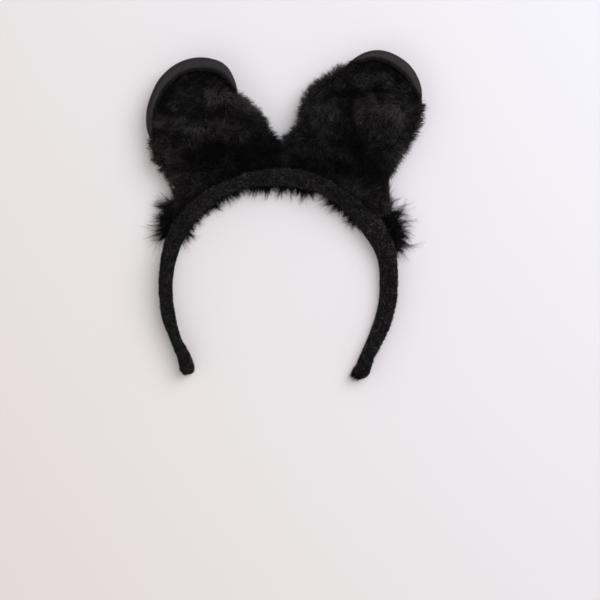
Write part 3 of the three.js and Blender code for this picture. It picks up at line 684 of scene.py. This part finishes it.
# Painted light and shade of the pile, lighter on fold ridges and darker in fold valleys and near the band: line, width,
# amount.
PILE_LIGHT_AND_SHADE = {
    "left": [
        ([px(152, 122), px(200, 131), px(240, 133)], 4.5, 0.85), ([px(160, 150), px(184, 178)], 9.0, 0.55), ([px(205, 146), px(262, 152)], 6.0, -0.85),
        ([px(163, 106), px(168, 97), px(178, 85), px(200, 77), px(224, 80), px(231, 93)], 3.2, -1.3), ([px(212, 96), px(236, 98), px(254, 109)], 4.2, 1.3), ([px(205, 130), px(250, 130)], 6.0, 0.2),
        ([px(160, 112), px(205, 118), px(240, 121)], 5.0, -0.35), ([px(190, 160), px(255, 166)], 9.0, -0.75), ([px(262, 150), px(300, 152)], 9.0, -1.3), ([px(180, 105), px(215, 108)], 8.0, 0.15),
        ([px(165, 190), px(176, 200)], 5.0, 0.1),
    ],
    "right": [
        ([px(360, 63), px(384, 68), px(402, 81)], 3.2, -2.0), ([px(367, 83), px(392, 82)], 3.4, 0.9), ([px(333, 93), px(352, 92), px(388, 93)], 2.4, -3.2),
        ([px(350, 96), px(351, 121)], 2.8, -2.4), ([px(366, 112), px(400, 108)], 7.0, 0.7), ([px(318, 113), px(344, 128)], 7.0, 1.1),
        ([px(345, 132), px(378, 178)], 9.0, -1.8), ([px(402, 118), px(396, 150)], 6.0, 0.9), ([px(320, 132), px(345, 138)], 5.0, 0.4), ([px(300, 163), px(345, 168)], 6.0, -1.5),
        ([px(342, 64), px(312, 84)], 3.0, 0.7), ([px(340, 155), px(358, 160)], 3.0, 0.7), ([px(372, 190), px(385, 205)], 7.0, 0.2),
    ],
}


def folds_at(side, x, y, table=FOLDS):
    h = np.zeros(np.shape(x))
    for path, width, amount in table[side]:
        h = h + amount * np.exp(-(segment_distance(x, y, path) / width) ** 2)
    return h


OVERHANG = 2.1  # how far the pile overhangs the free edges, in mm


def ear_outline(side):
    """Closed plan outline of the whole ear: base along the band, sides and rim, and where the satin rim shows."""
    pts, rim = [], []
    if side == "left":
        edge = [band_at(arc_of_index(i)) for i in np.linspace(14.1, 21.0, 15)]
        low = [f["p"] + f["out"] * (f["seen"] - 0.6) for f in edge]
        chain = [low[0], (-65.6, 3.2), (-66.9, 8.5), (-68.2, 14.5), (-70.2, 20.0)] + LEFT_LINE + [(-2.0, 44.4), (-0.4, 40.6), (-0.3, 34.0)] + low[::-1][:-1]
        first = 5 + 4
        last = 5 + 19
    else:
        edge = [band_at(arc_of_index(i)) for i in np.linspace(21.3, 27.6, 15)]
        low = [f["p"] + f["out"] * (f["seen"] - 0.6) for f in edge]
        chain = [low[0], (-0.2, 34.0), (-0.2, 40.4), (0.3, 45.2)] + RIGHT_LINE + [(63.9, 18.3), (63.4, 12.5), (62.8, 6.5), (61.4, 1.2)] + low[::-1][:-1]
        first = 4 + 10
        last = 4 + 20
    dense, idx = centripetal(chain, per=16, closed=True)
    seg = np.linalg.norm(np.diff(np.concatenate([dense, dense[:1]]), axis=0), axis=1)
    arc = np.concatenate([[0], np.cumsum(seg)])
    n = 288
    want = np.arange(n) / n * arc[-1]
    closed = np.concatenate([dense, dense[:1]])
    out = np.stack([np.interp(want, arc, closed[:, 0]), np.interp(want, arc, closed[:, 1])], -1)
    k = np.interp(want, arc, np.concatenate([idx, [len(chain)]]))
    if side == "left":
        rimness = smoothstep(k, first - 0.6, first + 1.2) * (1 - smoothstep(k, last - 1.4, last + 0.2))
        width = np.interp(k, [first, first + 3, first + 6, first + 9, first + 12, last - 1, last], [3.8, 5.6, 7.6, 8.3, 6.9, 3.5, 1.6])
        hang = OVERHANG * smoothstep(k, 0.4, 2.0) * (1 - smoothstep(k, 28.0, 31.0))
    else:
        rimness = smoothstep(k, first - 0.8, first + 1.4) * (1 - smoothstep(k, last - 1.6, last + 0.6))
        width = np.interp(k, [first, first + 2, first + 4, first + 6, first + 8, last], [2.2, 5.9, 7.0, 7.3, 5.8, 2.0])
        hang = OVERHANG * smoothstep(k, 3.0, 6.0) * (1 - smoothstep(k, 20.0, 25.0)) + 0.3 * smoothstep(k, 20.0, 25.0) * (1 - smoothstep(k, 34.0, 36.0))
    return out, rimness, width * rimness, k, hang


CENTRE = {"left": np.array([-45.0, 47.0]), "right": np.array([38.0, 50.0])}


def ear_heights(side, x, y, r):
    a, b = HINGE[side]
    d = unit((b - a)[None])[0]
    away = np.array([-d[1], d[0]])
    dist = (x - a[0]) * away[0] + (y - a[1]) * away[1]
    along = smoothstep(dist / 66.0, 0, 0.75)
    mid = 10.4 - 1.3 * (1 - r * r) * along + 2.0 * r * r * along
    return mid, dist, along


def build_ear(side):
    out, rimness, width, k, hang = ear_outline(side)
    n = len(out)
    c = CENTRE[side]
    reach = np.linalg.norm(out - c, axis=1)
    inset = width / reach  # share of the way in where the satin ends on the back
    # ---- the padded plush body, a closed pillow just inside the satin
    rs = np.concatenate([np.linspace(0.02, 0.88, 30), [0.91, 0.94, 0.965, 0.985, 0.996]])
    loops = []
    hang = hang * (1 - rimness)
    edge_r = 1 - inset * 0.88 - 0.006 * rimness - hang / reach
    for r in rs:
        rr = r * edge_r
        p = c + (out - c) * rr[:, None]
        mid, dist, along = ear_heights(side, p[:, 0], p[:, 1], rr)
        t = (4.9 - 0.9 * (1 - smoothstep(dist, -4, 14))) * (1 - r ** 3.2) ** 0.5
        fold = folds_at(side, p[:, 0], p[:, 1]) * smoothstep(1 - r, 0.0, 0.12)
        soft = 0.7 * noise2(p[:, 0], p[:, 1], 13.0, 41) + 0.35 * noise2(p[:, 0], p[:, 1], 6.0, 42)
        z = mid + t + (fold + soft) * smoothstep(1 - r, 0, 0.15)
        z = np.maximum(z, mid + 2.3 * smoothstep(1 - r, 0.0, 0.2))  # the wadding holds the folds open
        z = z + rimness * 0.6 * smoothstep(r, 0.8, 1.0)
        loops.append(np.column_stack([p, z]))
    top_rows = len(rs)
    under = [0.992, 0.96, 0.9, 0.8, 0.6, 0.3, 0.02]
    for r in under:
        rr = r * edge_r
        p = c + (out - c) * rr[:, None]
        mid, dist, along = ear_heights(side, p[:, 0], p[:, 1], rr)
        t = 3.0 * (1 - r ** 3.2) ** 0.5
        loops.append(np.column_stack([p, mid - t]))
    body = np.concatenate(loops)
    rows = len(loops)
    quads = grid_quads(rows, n)
    tris = np.concatenate([fan(0, n, len(body)), fan((rows - 1) * n, n, len(body) + 1, True)])
    body = np.concatenate([body, [loops[0].mean(0)], [loops[-1].mean(0)]])
    nrm = np.cross(body[quads[:, 1]] - body[quads[:, 0]], body[quads[:, 2]] - body[quads[:, 0]])
    if nrm[: 20 * n, 2].mean() < 0:
        quads, tris = quads[:, ::-1], tris[:, ::-1]
    plush = make_mesh(f"{side}_ear_plush", body, tris=tris, quads=quads, materials=[PLUSH_SKIN])

    # ---- the satin front: under the ear, over the edge, and back as a rolled rim at the tip
    roll = 3.4 * rimness + 1.3 * (1 - rimness)
    prof = []

    def lay(r, z_of):
        rr = np.asarray(r * np.ones(n))
        p = c + (out - c) * (rr * (1 - hang / reach))[:, None]
        mid, dist, along = ear_heights(side, p[:, 0], p[:, 1], rr)
        wrinkle = (0.28 * noise2(p[:, 0], p[:, 1], 6.0, 51) + 0.5 * noise2(p[:, 0], p[:, 1], 17.0, 52)) * smoothstep(rr, 0.0, 0.2)
        prof.append(np.column_stack([p, z_of(mid, wrinkle, rr)]))

    for r in (0.004, 0.06, 0.11, 0.16, 0.22, 0.28, 0.34, 0.40, 0.46, 0.52, 0.58, 0.64, 0.70, 0.76, 0.82, 0.89, 0.94):
        lay(r, lambda mid, w, rr: mid - 4.3 * (1 - rr ** 3.2) ** 0.5 - 0.6 + w * (1 - rr) * 1.6)
    for a in (-1.15, -0.85, -0.55, -0.25, 0.0, 0.25, 0.5, 0.75, 1.0, 1.25, 1.5):
        # round the edge: a circle of radius roll, squashed in plan
        r = 1 - (roll * 0.8 * (1 - math.cos(a))) / reach
        ripple = 0.10 * noise2(k * 6.0, np.full(n, 3.0), 2.0, 53) * rimness
        lay(r, lambda mid, w, rr, a=a: mid + roll * math.sin(a) + ripple * math.cos(a))
    for q, dz in ((0.55, 0.08), (0.8, -0.06), (0.97, -0.35), (1.04, -0.9)):
        # the flat of the rim on the back, then its turned-in edge
        w_in = np.maximum(width, 1.6)
        r = 1 - (roll * 0.75 + (w_in - roll * 0.75) * q) / reach
        lay(r, lambda mid, w, rr, dz=dz, q=q: mid + roll * (1.0 + 0.10 * math.sin(q * 3.0)) + dz + 0.12 * noise2(k * 5.0, np.full(n, q * 3), 2.2, 54) * rimness)
    r = 1 - (np.maximum(width, 1.6) + 0.2) / reach
    lay(r, lambda mid, w, rr: mid + roll * 0.3)
    for rr_ in (0.93, 0.8, 0.6, 0.3, 0.02):
        lay(np.minimum(rr_, 1 - (np.maximum(width, 1.6) + 0.2) / reach) if rr_ > 0.9 else rr_, lambda mid, w, rr: mid - 4.3 * (1 - rr ** 3.2) ** 0.5 + 0.1 + w * (1 - rr) * 1.6)
    shell = np.concatenate(prof)
    rows2 = len(prof)
    q2 = grid_quads(rows2, n)
    t2 = np.concatenate([fan(0, n, len(shell)), fan((rows2 - 1) * n, n, len(shell) + 1, True)])
    shell = np.concatenate([shell, [prof[0].mean(0)], [prof[-1].mean(0)]])
    shell[:, 2] = np.maximum(shell[:, 2], 0.4)
    nrm = np.cross(shell[q2[:, 1]] - shell[q2[:, 0]], shell[q2[:, 2]] - shell[q2[:, 0]])
    if nrm[: 3 * n, 2].mean() > 0:
        q2, t2 = q2[:, ::-1], t2[:, ::-1]
    satin = make_mesh(f"{side}_ear_satin", shell, tris=t2, quads=q2, materials=[SATIN])
    return plush, satin, body, quads, top_rows, n, out, rimness, edge_r, width


def blend_ear(ob):
    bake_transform(ob)


def ear_pile(side, body, quads, top_rows, n, out, rimness, edge_r, count, seed):
    """The plush pile: fine hairs in small locks, longer and leaning outwards round the sides."""
    rng = np.random.default_rng(seed)
    fields = quads[: (top_rows + 2) * n]
    pos, nor = sample_surface(body, fields, count, rng)
    c = CENTRE[side]
    rel = pos[:, :2] - c
    ang_out = np.arctan2(out[:, 1] - c[1], out[:, 0] - c[0])
    order = np.argsort(ang_out)
    ang = np.arctan2(rel[:, 1], rel[:, 0])
    reach = np.interp(ang, ang_out[order], np.linalg.norm(out - c, axis=1)[order], period=2 * np.pi)
    rim_here = np.interp(ang, ang_out[order], rimness[order], period=2 * np.pi)
    edge_here = np.interp(ang, ang_out[order], edge_r[order], period=2 * np.pi)
    r = np.linalg.norm(rel, axis=1) / reach / edge_here
    radial = unit(np.column_stack([rel, np.zeros(count)]))
    # distance to the band, where the pile is pressed down and turned away
    band_d = segment_distance(pos[:, 0], pos[:, 1], [tuple(q) for q in line[::20]])
    near = 1 - smoothstep(band_d, 5.5, 11)
    side_edge = smoothstep(r, 0.86, 1.0) * (1 - rim_here) * (1 - near)
    x, y = pos[:, 0], pos[:, 1]
    flow = np.stack([noise2(x, y, 11.0, seed + 3) + 0.8 * noise2(x, y, 4.0, seed + 5), noise2(x, y, 11.0, seed + 4) + 0.8 * noise2(x, y, 4.0, seed + 6), np.zeros(count)], -1)
    comb = np.array([0.35, -0.30, 0.0]) if side == "left" else np.array([-0.30, -0.35, 0.0])
    away = np.stack([np.zeros(count), np.ones(count), np.zeros(count)], -1)
    over_band = near * (rng.random(count) < 0.6)
    d = nor * 0.70 + flow * 0.85 + comb * 0.6 + radial * (side_edge * 0.9)[:, None] + away * (near * 0.5)[:, None] - away * (over_band * 1.0)[:, None]
    # Along the satin rim the hair falls over its inner edge in some places and away from it in others.
    over_rim = rim_here * smoothstep(r, 0.80, 1.0)
    d = d + radial * (over_rim * (-0.12 + 0.60 * noise2(x, y, 3.4, seed + 31)))[:, None]
    d = unit(d + rng.normal(size=(count, 3)) * 0.26)
    length = 4.7 * (0.60 + 0.6 * rng.random(count)) * (1 - 0.25 * near) * (1 - 0.35 * over_rim)
    length = length * (1 - 0.05 * side_edge + 0.25 * side_edge * (rng.random(count) < 0.12))
    # fine locks of a few hairs each, and looser large ones
    pull = clump_pull(x, y, 1.5, 0.55, seed + 9) + clump_pull(x, y, 4.0, 0.20, seed + 19)
    pull[:, 2] = -0.10 * length
    bend = rng.normal(size=(count, 3)) * 0.45
    lock = hash01(np.floor(x / 1.1 + 0.3 * noise2(x, y, 2.0, seed + 41)) + 3000, np.floor(y / 1.1 + 0.3 * noise2(x, y, 2.0, seed + 42)) + 3000)
    # Painted light and shade over random tone: lighter on the ridges, darker in the valleys and next to the band, and
    # the right ear set a little lighter.
    tone_and_shade = folds_at(side, x, y, PILE_LIGHT_AND_SHADE) + 0.35 * noise2(x, y, 5.0, seed + 21) + 0.40 * noise2(x, y, 1.8, seed + 23) - 0.8 * near
    pick = 0.95 * tone_and_shade + 0.85 * (lock - 0.5) + rng.normal(size=count) * 0.70 + BRIGHT[side]
    warm = (noise2(x, y, 14.0, seed + 25) + (y > 62) * 0.4 + rng.normal(size=count) * 0.3) > 0
    slot = np.where(pick > 1.45, 7, np.where(pick > 0.70, np.where(warm, 5, 6), np.where(pick > 0.05, np.where(warm, 3, 4), np.where(pick > -0.65, np.where(warm, 1, 2), 0))))
    # No hair grows from under the rolled edge, where it would come through the satin.
    keep = np.flatnonzero(~((rim_here > 0.12) & ((nor[:, 2] < 0.55) | (r > 0.985))))
    halves = []
    for h in range(2):
        m = keep[h::2]
        ob = strands(f"{side}_ear_pile_{h + 1}", pos[m] - nor[m] * 0.2, d[m], length[m], (0.19 + 0.10 * rng.random(count))[m], pull[m], bend[m], slot[m], PILE, segments=3, seed=seed + h, taper=0.25, floor=0.6)
        blend_ear(ob)
        halves.append(ob)
    return halves


def rim_fuzz(side, out, rimness, width, seed):
    """Short loose hairs at the plush edge that lie over the satin rim, so that the edge isn't a clean line."""
    rng = np.random.default_rng(seed)
    count = 2700
    n = len(out)
    at = rng.choice(n, size=count, p=(rimness + 1e-6) / (rimness + 1e-6).sum())
    j = rng.random(count)
    nxt = (at + 1) % n
    p = out[at] * (1 - j)[:, None] + out[nxt] * j[:, None]
    w = width[at] * (1 - j) + width[nxt] * j
    inward = unit(CENTRE[side] - p)
    tangent = unit(out[nxt] - out[at])
    w = np.maximum(w, 1.4)
    root2 = p + inward * (w + 0.7 - 1.1 * rng.random(count) ** 1.6)[:, None]
    mid, dist, along = ear_heights(side, root2[:, 0], root2[:, 1], np.ones(count))
    root = np.column_stack([root2, mid + 3.2])
    d = unit(np.column_stack([-inward * 0.9 + tangent * rng.normal(size=count)[:, None] * 0.8, 0.25 + 0.35 * rng.random(count)]))
    length = np.minimum(0.7 + 2.6 * rng.random(count) ** 2.4, 0.6 * w + 0.4)
    shade = rng.choice([0, 1, 2, 3, 4, 5], size=count, p=[0.22, 0.22, 0.22, 0.14, 0.12, 0.08])
    pull = np.column_stack([np.zeros((count, 2)), -0.35 * length])
    ob = strands(f"{side}_ear_rim_fuzz", root, d, length, np.full(count, 0.16), pull, rng.normal(size=(count, 3)) * 0.3, shade, PILE, segments=3, seed=seed, taper=0.2, floor=0.6)
    blend_ear(ob)


BRIGHT = {"left": 0.35, "right": 0.55}
HAIRS = 46000

for side, seed in (("left", 301), ("right", 401)):
    plush, satin, body, quads, top_rows, n, out, rimness, edge_r, width = build_ear(side)
    rim_fuzz(side, out, rimness, width, seed + 60)
    ear_pile(side, body, quads, top_rows, n, out, rimness, edge_r, HAIRS, seed)
    blend_ear(plush)
    blend_ear(satin)
    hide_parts(f"{side}_ear_plush_back", f"{side}_ear_base_plush")
    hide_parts(f"{side}_ear_satin_front", f"{side}_ear_base_satin")


# ------------------------------------------------------------------ the feather trim
# Plumes that stand out of the trim: where the barbs leave it, the directions they fan through in degrees, the
# spread, their lengths in mm, how many, and the heights they leave at.
PLUMES = [
    ([(-65.4, 7.4), (-68.8, 3.0), (-70.8, -4.0), (-72.0, -12.5)], (168, 208), 20, (6.5, 14.8), 900, (3.0, 9.0)),
    ([(-62.4, 9.0), (-67.0, 4.0), (-69.6, -4.0), (-71.0, -11.5)], (150, 214), 40, (3.5, 8.0), 520, (3.0, 8.0)),
    ([(-67.0, 5.4), (-70.6, -2.0), (-72.0, -13.5)], (150, 240), 40, (11.0, 19.0), 110, (2.0, 7.0)),
    ([(-62.6, -12.2), (-56.6, -4.4), (-51.2, 1.6), (-44.4, 7.4), (-36.8, 12.4), (-27.6, 16.6)], (318, 288), 44, (3.4, 8.6), 600, (2.0, 6.0)),
    ([(-62.4, -12.6), (-60.0, -9.6)], (280, 310), 30, (6.0, 11.0), 90, (2.0, 6.0)),
    ([(-47.6, 5.4), (-44.0, 8.2)], (296, 320), 34, (6.0, 11.0), 90, (2.0, 6.0)),
    ([(24.5, 14.2), (33.0, 8.2), (38.4, 3.4), (43.0, -0.6), (46.6, -3.8)], (248, 216), 40, (3.2, 8.8), 640, (2.0, 6.0)),
    ([(30.4, 9.8), (34.6, 7.0)], (200, 236), 34, (6.0, 12.0), 120, (2.0, 6.0)),
    ([(41.6, 0.2), (45.0, -2.6)], (212, 245), 32, (5.0, 10.5), 90, (2.0, 6.0)),
    ([(57.0, 12.0), (62.0, 4.0), (66.8, -5.0), (68.8, -12.0), (67.8, -20.4)], (62, -38), 24, (5.0, 14.0), 900, (3.0, 10.0)),
    ([(59.0, 6.0), (64.4, -4.0), (67.4, -12.0), (67.0, -21.6)], (42, -46), 40, (3.5, 8.0), 520, (3.0, 9.0)),
    ([(60.0, 7.0), (67.6, -6.0), (67.6, -20.0)], (52, -44), 40, (12.0, 20.0), 120, (2.0, 7.0)),
    ([(55.6, 6.0), (60.2, -1.6), (63.4, -9.0), (65.4, -16.5), (66.2, -23.0)], (44, -26), 44, (3.6, 7.8), 620, (2.0, 6.5)),
    ([(-21.5, 18.0), (-10.0, 19.2), (0.3, 19.0), (9.0, 18.4), (18.0, 16.6)], (258, 280), 46, (3.4, 7.6), 420, (2.0, 6.0)),
    ([(-3.0, 17.8), (7.0, 17.2), (17.0, 15.2)], (250, 292), 36, (5.0, 10.4), 270, (2.0, 6.0)),
    ([(-19.0, 17.2), (-9.0, 17.8)], (246, 284), 38, (4.4, 9.4), 190, (2.0, 6.0)),
]


def feather_trim():
    """Down barbs bound to the cord, each with soft barbules on both sides. Bushy at the two ends."""
    rng = np.random.default_rng(77)
    curve, _ = centripetal(TRIM, per=30)
    arc = np.concatenate([[0], np.cumsum(np.linalg.norm(np.diff(curve, axis=0), axis=1))])
    L = arc[-1]
    n = 2600
    u = rng.random(n)
    s = u * L
    at = lambda v: np.stack([np.interp(v, arc, curve[:, 0]), np.interp(v, arc, curve[:, 1])], -1)
    p = at(s)
    t = unit(at(np.minimum(s + 0.5, L)) - at(np.maximum(s - 0.5, 0)))
    outn = np.stack([-t[:, 1], t[:, 0]], -1)
    a = rng.random(n) * 2 * np.pi
    lean = rng.normal(size=n) * 0.6
    cx, cz = np.cos(a), np.sin(a)
    endness = np.maximum(1 - smoothstep(u, 0.02, 0.13), smoothstep(u, 0.85, 0.97))
    reach = (6.6 + 1.6 * (cx > 0)) * (0.55 + 0.55 * rng.random(n))
    roots = [np.column_stack([p, np.full(n, 2.9)]) + np.column_stack([outn * (cx * 0.7)[:, None], cz * 0.7])]
    dirs = [unit(np.column_stack([outn * cx[:, None] + t * lean[:, None], cz * (0.34 + 0.45 * endness)]))]
    reaches, tops = [reach], [endness * 0.8]
    curls = [rng.normal(size=n) * 0.5]
    for path, (a0, a1), spread, (lo, hi), count, (z0, z1) in PLUMES:
        dense, idx = centripetal(path, per=12)
        # Barbs gather in pointed wisps: those of one wisp leave the cord side by side and meet near its tip.
        wisps = max(4, count // 13)
        wf = (np.arange(wisps) + rng.random(wisps)) / wisps
        wang = np.radians(a0 + (a1 - a0) * wf + rng.normal(size=wisps) * spread * 0.75)
        wlen = lo + (hi - lo) * rng.random(wisps) ** 1.4
        wcurl = rng.normal(size=wisps) * 1.0
        wz = z0 + (z1 - z0) * rng.random(wisps)
        mine = rng.integers(0, wisps, size=count)
        loose = rng.random(count) < 0.22
        f = np.clip(wf[mine] + rng.normal(size=count) * (0.5 / wisps) + loose * rng.normal(size=count) * 0.05, 0, 1)
        at_path = lambda v: np.stack([np.interp(v * (len(path) - 1), idx, dense[:, 0]), np.interp(v * (len(path) - 1), idx, dense[:, 1])], -1)
        q = at_path(f) + rng.normal(size=(count, 2)) * 0.7
        tip = at_path(wf)[mine] + np.stack([np.cos(wang[mine]), np.sin(wang[mine])], -1) * wlen[mine][:, None] + rng.normal(size=(count, 2)) * 0.55
        span = tip - q
        ang = np.arctan2(span[:, 1], span[:, 0]) + loose * rng.normal(size=count) * math.radians(spread)
        far = np.linalg.norm(span, axis=1) * (0.50 + 0.52 * rng.random(count) ** 0.8)
        z = wz[mine] + rng.normal(size=count) * 0.6
        roots.append(np.column_stack([q, z]))
        dirs.append(unit(np.column_stack([np.cos(ang), np.sin(ang), -0.05 + 0.14 * rng.normal(size=count)])))
        reaches.append(far)
        curls.append(np.where(loose, rng.normal(size=count) * 0.9, wcurl[mine] + rng.normal(size=count) * 0.15))
        tops.append(np.full(count, 0.8 if z1 > 8 else 0.0))
    root, d, reach, top = np.concatenate(roots), np.concatenate(dirs), np.concatenate(reaches), np.concatenate(tops)
    n = len(root)
    curl = np.concatenate(curls)
    sidev = unit(np.cross(d, np.column_stack([np.zeros((n, 2)), np.ones(n)])) + 1e-6)
    segs = 6
    pts = []
    jitter = rng.random(n)
    mid_line = [tuple(b) for b in line[::20]]
    for k in range(segs + 1):
        f = k / segs
        w = root + d * (reach * f)[:, None] + sidev * (curl * reach * 0.30 * f * f)[:, None]
        w[:, 2] += -1.0 * f * f + rng.normal(size=n) * 0.15 * f
        over = smoothstep(segment_distance(w[:, 0], w[:, 1], mid_line), 4.6, 8.0)
        ceiling = 5.6 + over * (2.0 + 6.5 * top) - 0.8 * jitter
        w[:, 2] = np.minimum(np.maximum(w[:, 2], 0.35), ceiling)
        pts.append(w)
    pts = np.stack(pts, 1)
    side3 = unit(np.cross(d, unit(rng.normal(size=(n, 3)))))
    verts = []
    for k in range(segs + 1):
        wdt = 0.11 * (1 - 0.72 * k / segs)
        verts += [pts[:, k] - side3 * wdt, pts[:, k] + side3 * wdt]
    m = 2 * (segs + 1)
    co = np.stack(verts, 1).reshape(-1, 3)
    base = (np.arange(n) * m)[:, None]
    tri = []
    for k in range(segs):
        tri += [base + np.array([[2 * k, 2 * k + 1, 2 * k + 3]]), base + np.array([[2 * k, 2 * k + 3, 2 * k + 2]])]
    tri = np.stack(tri, 1).reshape(-1, 3)
    shade = np.clip(np.round(0.7 + rng.normal(size=n) * 0.7), 0, 2).astype(int)
    slots = np.repeat(shade, 2 * segs)
    # barbules: long and soft near the cord, short near the tip, so that the tips look like fine points
    per = 15
    f = np.clip((np.arange(per) + 0.5)[None, :] / per * 0.97 + rng.normal(size=(n, per)) * 0.012, 0.04, 0.99)
    kk = f * segs
    i0 = np.minimum(np.floor(kk).astype(int), segs - 1)
    fr = (kk - i0)[..., None]
    rows = np.arange(n)[:, None]
    bp = pts[rows, i0] * (1 - fr) + pts[rows, i0 + 1] * fr
    tang = unit(pts[rows, i0 + 1] - pts[rows, i0])
    sd = unit(np.cross(tang, rng.normal(size=(n, per, 3))))
    bd = unit(sd + tang * 0.9 + rng.normal(size=(n, per, 3)) * 0.15)
    bl = (1.35 * (0.4 + 0.8 * rng.random((n, per))) * (1 - 0.88 * f ** 0.6))[..., None]
    bt = bp + bd * bl
    bt[..., 2] = np.maximum(bt[..., 2], 0.25)
    bw = unit(np.cross(bd, rng.normal(size=(n, per, 3)))) * 0.05
    bv = np.stack([bp - bw, bp + bw, bt], 2).reshape(-1, 3)
    return make_mesh("feather_trim_down", np.concatenate([co, bv]), tris=np.concatenate([tri, np.arange(len(bv)).reshape(-1, 3) + len(co)]),
                     slots=np.concatenate([slots, np.repeat(shade, per)]), materials=BARB)


down = feather_trim()
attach(down, "crown")
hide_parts("feather_trim")


# ------------------------------------------------------------------ stitches along the sleeve's seam
def tube(path, radius, sides=6):
    path = np.asarray(path, float)
    t = unit(np.gradient(path, axis=0))
    ref = np.array([0.0, 0.0, 1.0])
    a = unit(np.cross(t, ref) + 1e-6)
    b = np.cross(t, a)
    ang = np.arange(sides) / sides * 2 * np.pi
    ends = np.ones(len(path))
    ends[0] = ends[-1] = 0.35
    ring = path[:, None] + radius * ends[:, None, None] * (a[:, None] * np.cos(ang)[None, :, None] + b[:, None] * np.sin(ang)[None, :, None])
    verts = ring.reshape(-1, 3)
    quads = grid_quads(len(path), sides)
    tris = np.concatenate([fan(0, sides, len(verts)), fan((len(path) - 1) * sides, sides, len(verts) + 1, True)])
    return np.concatenate([verts, path[:1], path[-1:]]), quads, tris


def seam_point(s, off=0.0, lift=0.0):
    """A point of the seam, off along the section's outline and lift out of it, in mm."""
    f = band_at(s)
    a = seam_angle(f)
    q = section(f, np.array([a - 0.03, a, a + 0.03]))
    across = unit((q[2] - q[0])[None])[0]
    facing = np.array([-f["out"][0] * math.cos(SEAM_DIP), -f["out"][1] * math.cos(SEAM_DIP), -math.sin(SEAM_DIP)])
    return q[1] + facing * (0.05 + lift) + across * off


def seam(side):
    lo, hi = (6.0, S_MIDDLE) if side == "left" else (S_MIDDLE, BAND_LENGTH - 6.0)
    V, Q, T, base = [], [], [], 0

    def put(path, r, sides=6):
        nonlocal base
        v, q, t = tube(path, r, sides)
        V.append(v); Q.append(q + base); T.append(t + base)
        base += len(v)

    fold = [seam_point(s, 0.16 * math.sin(s * 0.9), -0.05) for s in np.linspace(lo, hi, int((hi - lo) / 1.6))]
    put(fold, 0.42)
    s = lo + 1.0
    while s < hi - 2.5:
        put([seam_point(s + 2.3 * q, -0.62 + 1.24 * q, 0.36 * math.sin(math.pi * q)) for q in np.linspace(0, 1, 6)], 0.17, 5)
        s += 3.1
    return make_mesh(f"{side}_sleeve_seam", np.concatenate(V), tris=np.concatenate(T), quads=np.concatenate(Q), materials=[THREAD])


for side in ("left", "right"):
    ob = seam(side)
    blend_leg(ob)
    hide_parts(f"sleeve_seam_{side}_leg", *(["sleeve_seam_crown"] if side == "left" else []))


# ------------------------------------------------------------------ the CAD nodes that stay, with better materials
def dress(name, mat):
    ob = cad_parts[name]
    for s in ob.material_slots:
        s.material = mat
    if not ob.material_slots:
        ob.data.materials.append(mat)


for part in ("crown", "left_leg", "right_leg"):
    dress(f"foam_wrap_{part}", FOAM)
    dress(f"spring_strip_{part}", PLASTIC)
for side in ("left", "right"):
    dress(f"{side}_ear_filling", WADDING)
    dress(f"{side}_ear_base_filling", WADDING)
    dress(f"{side}_ear_tack_thread", THREAD)
dress("feather_trim_cord", THREAD)

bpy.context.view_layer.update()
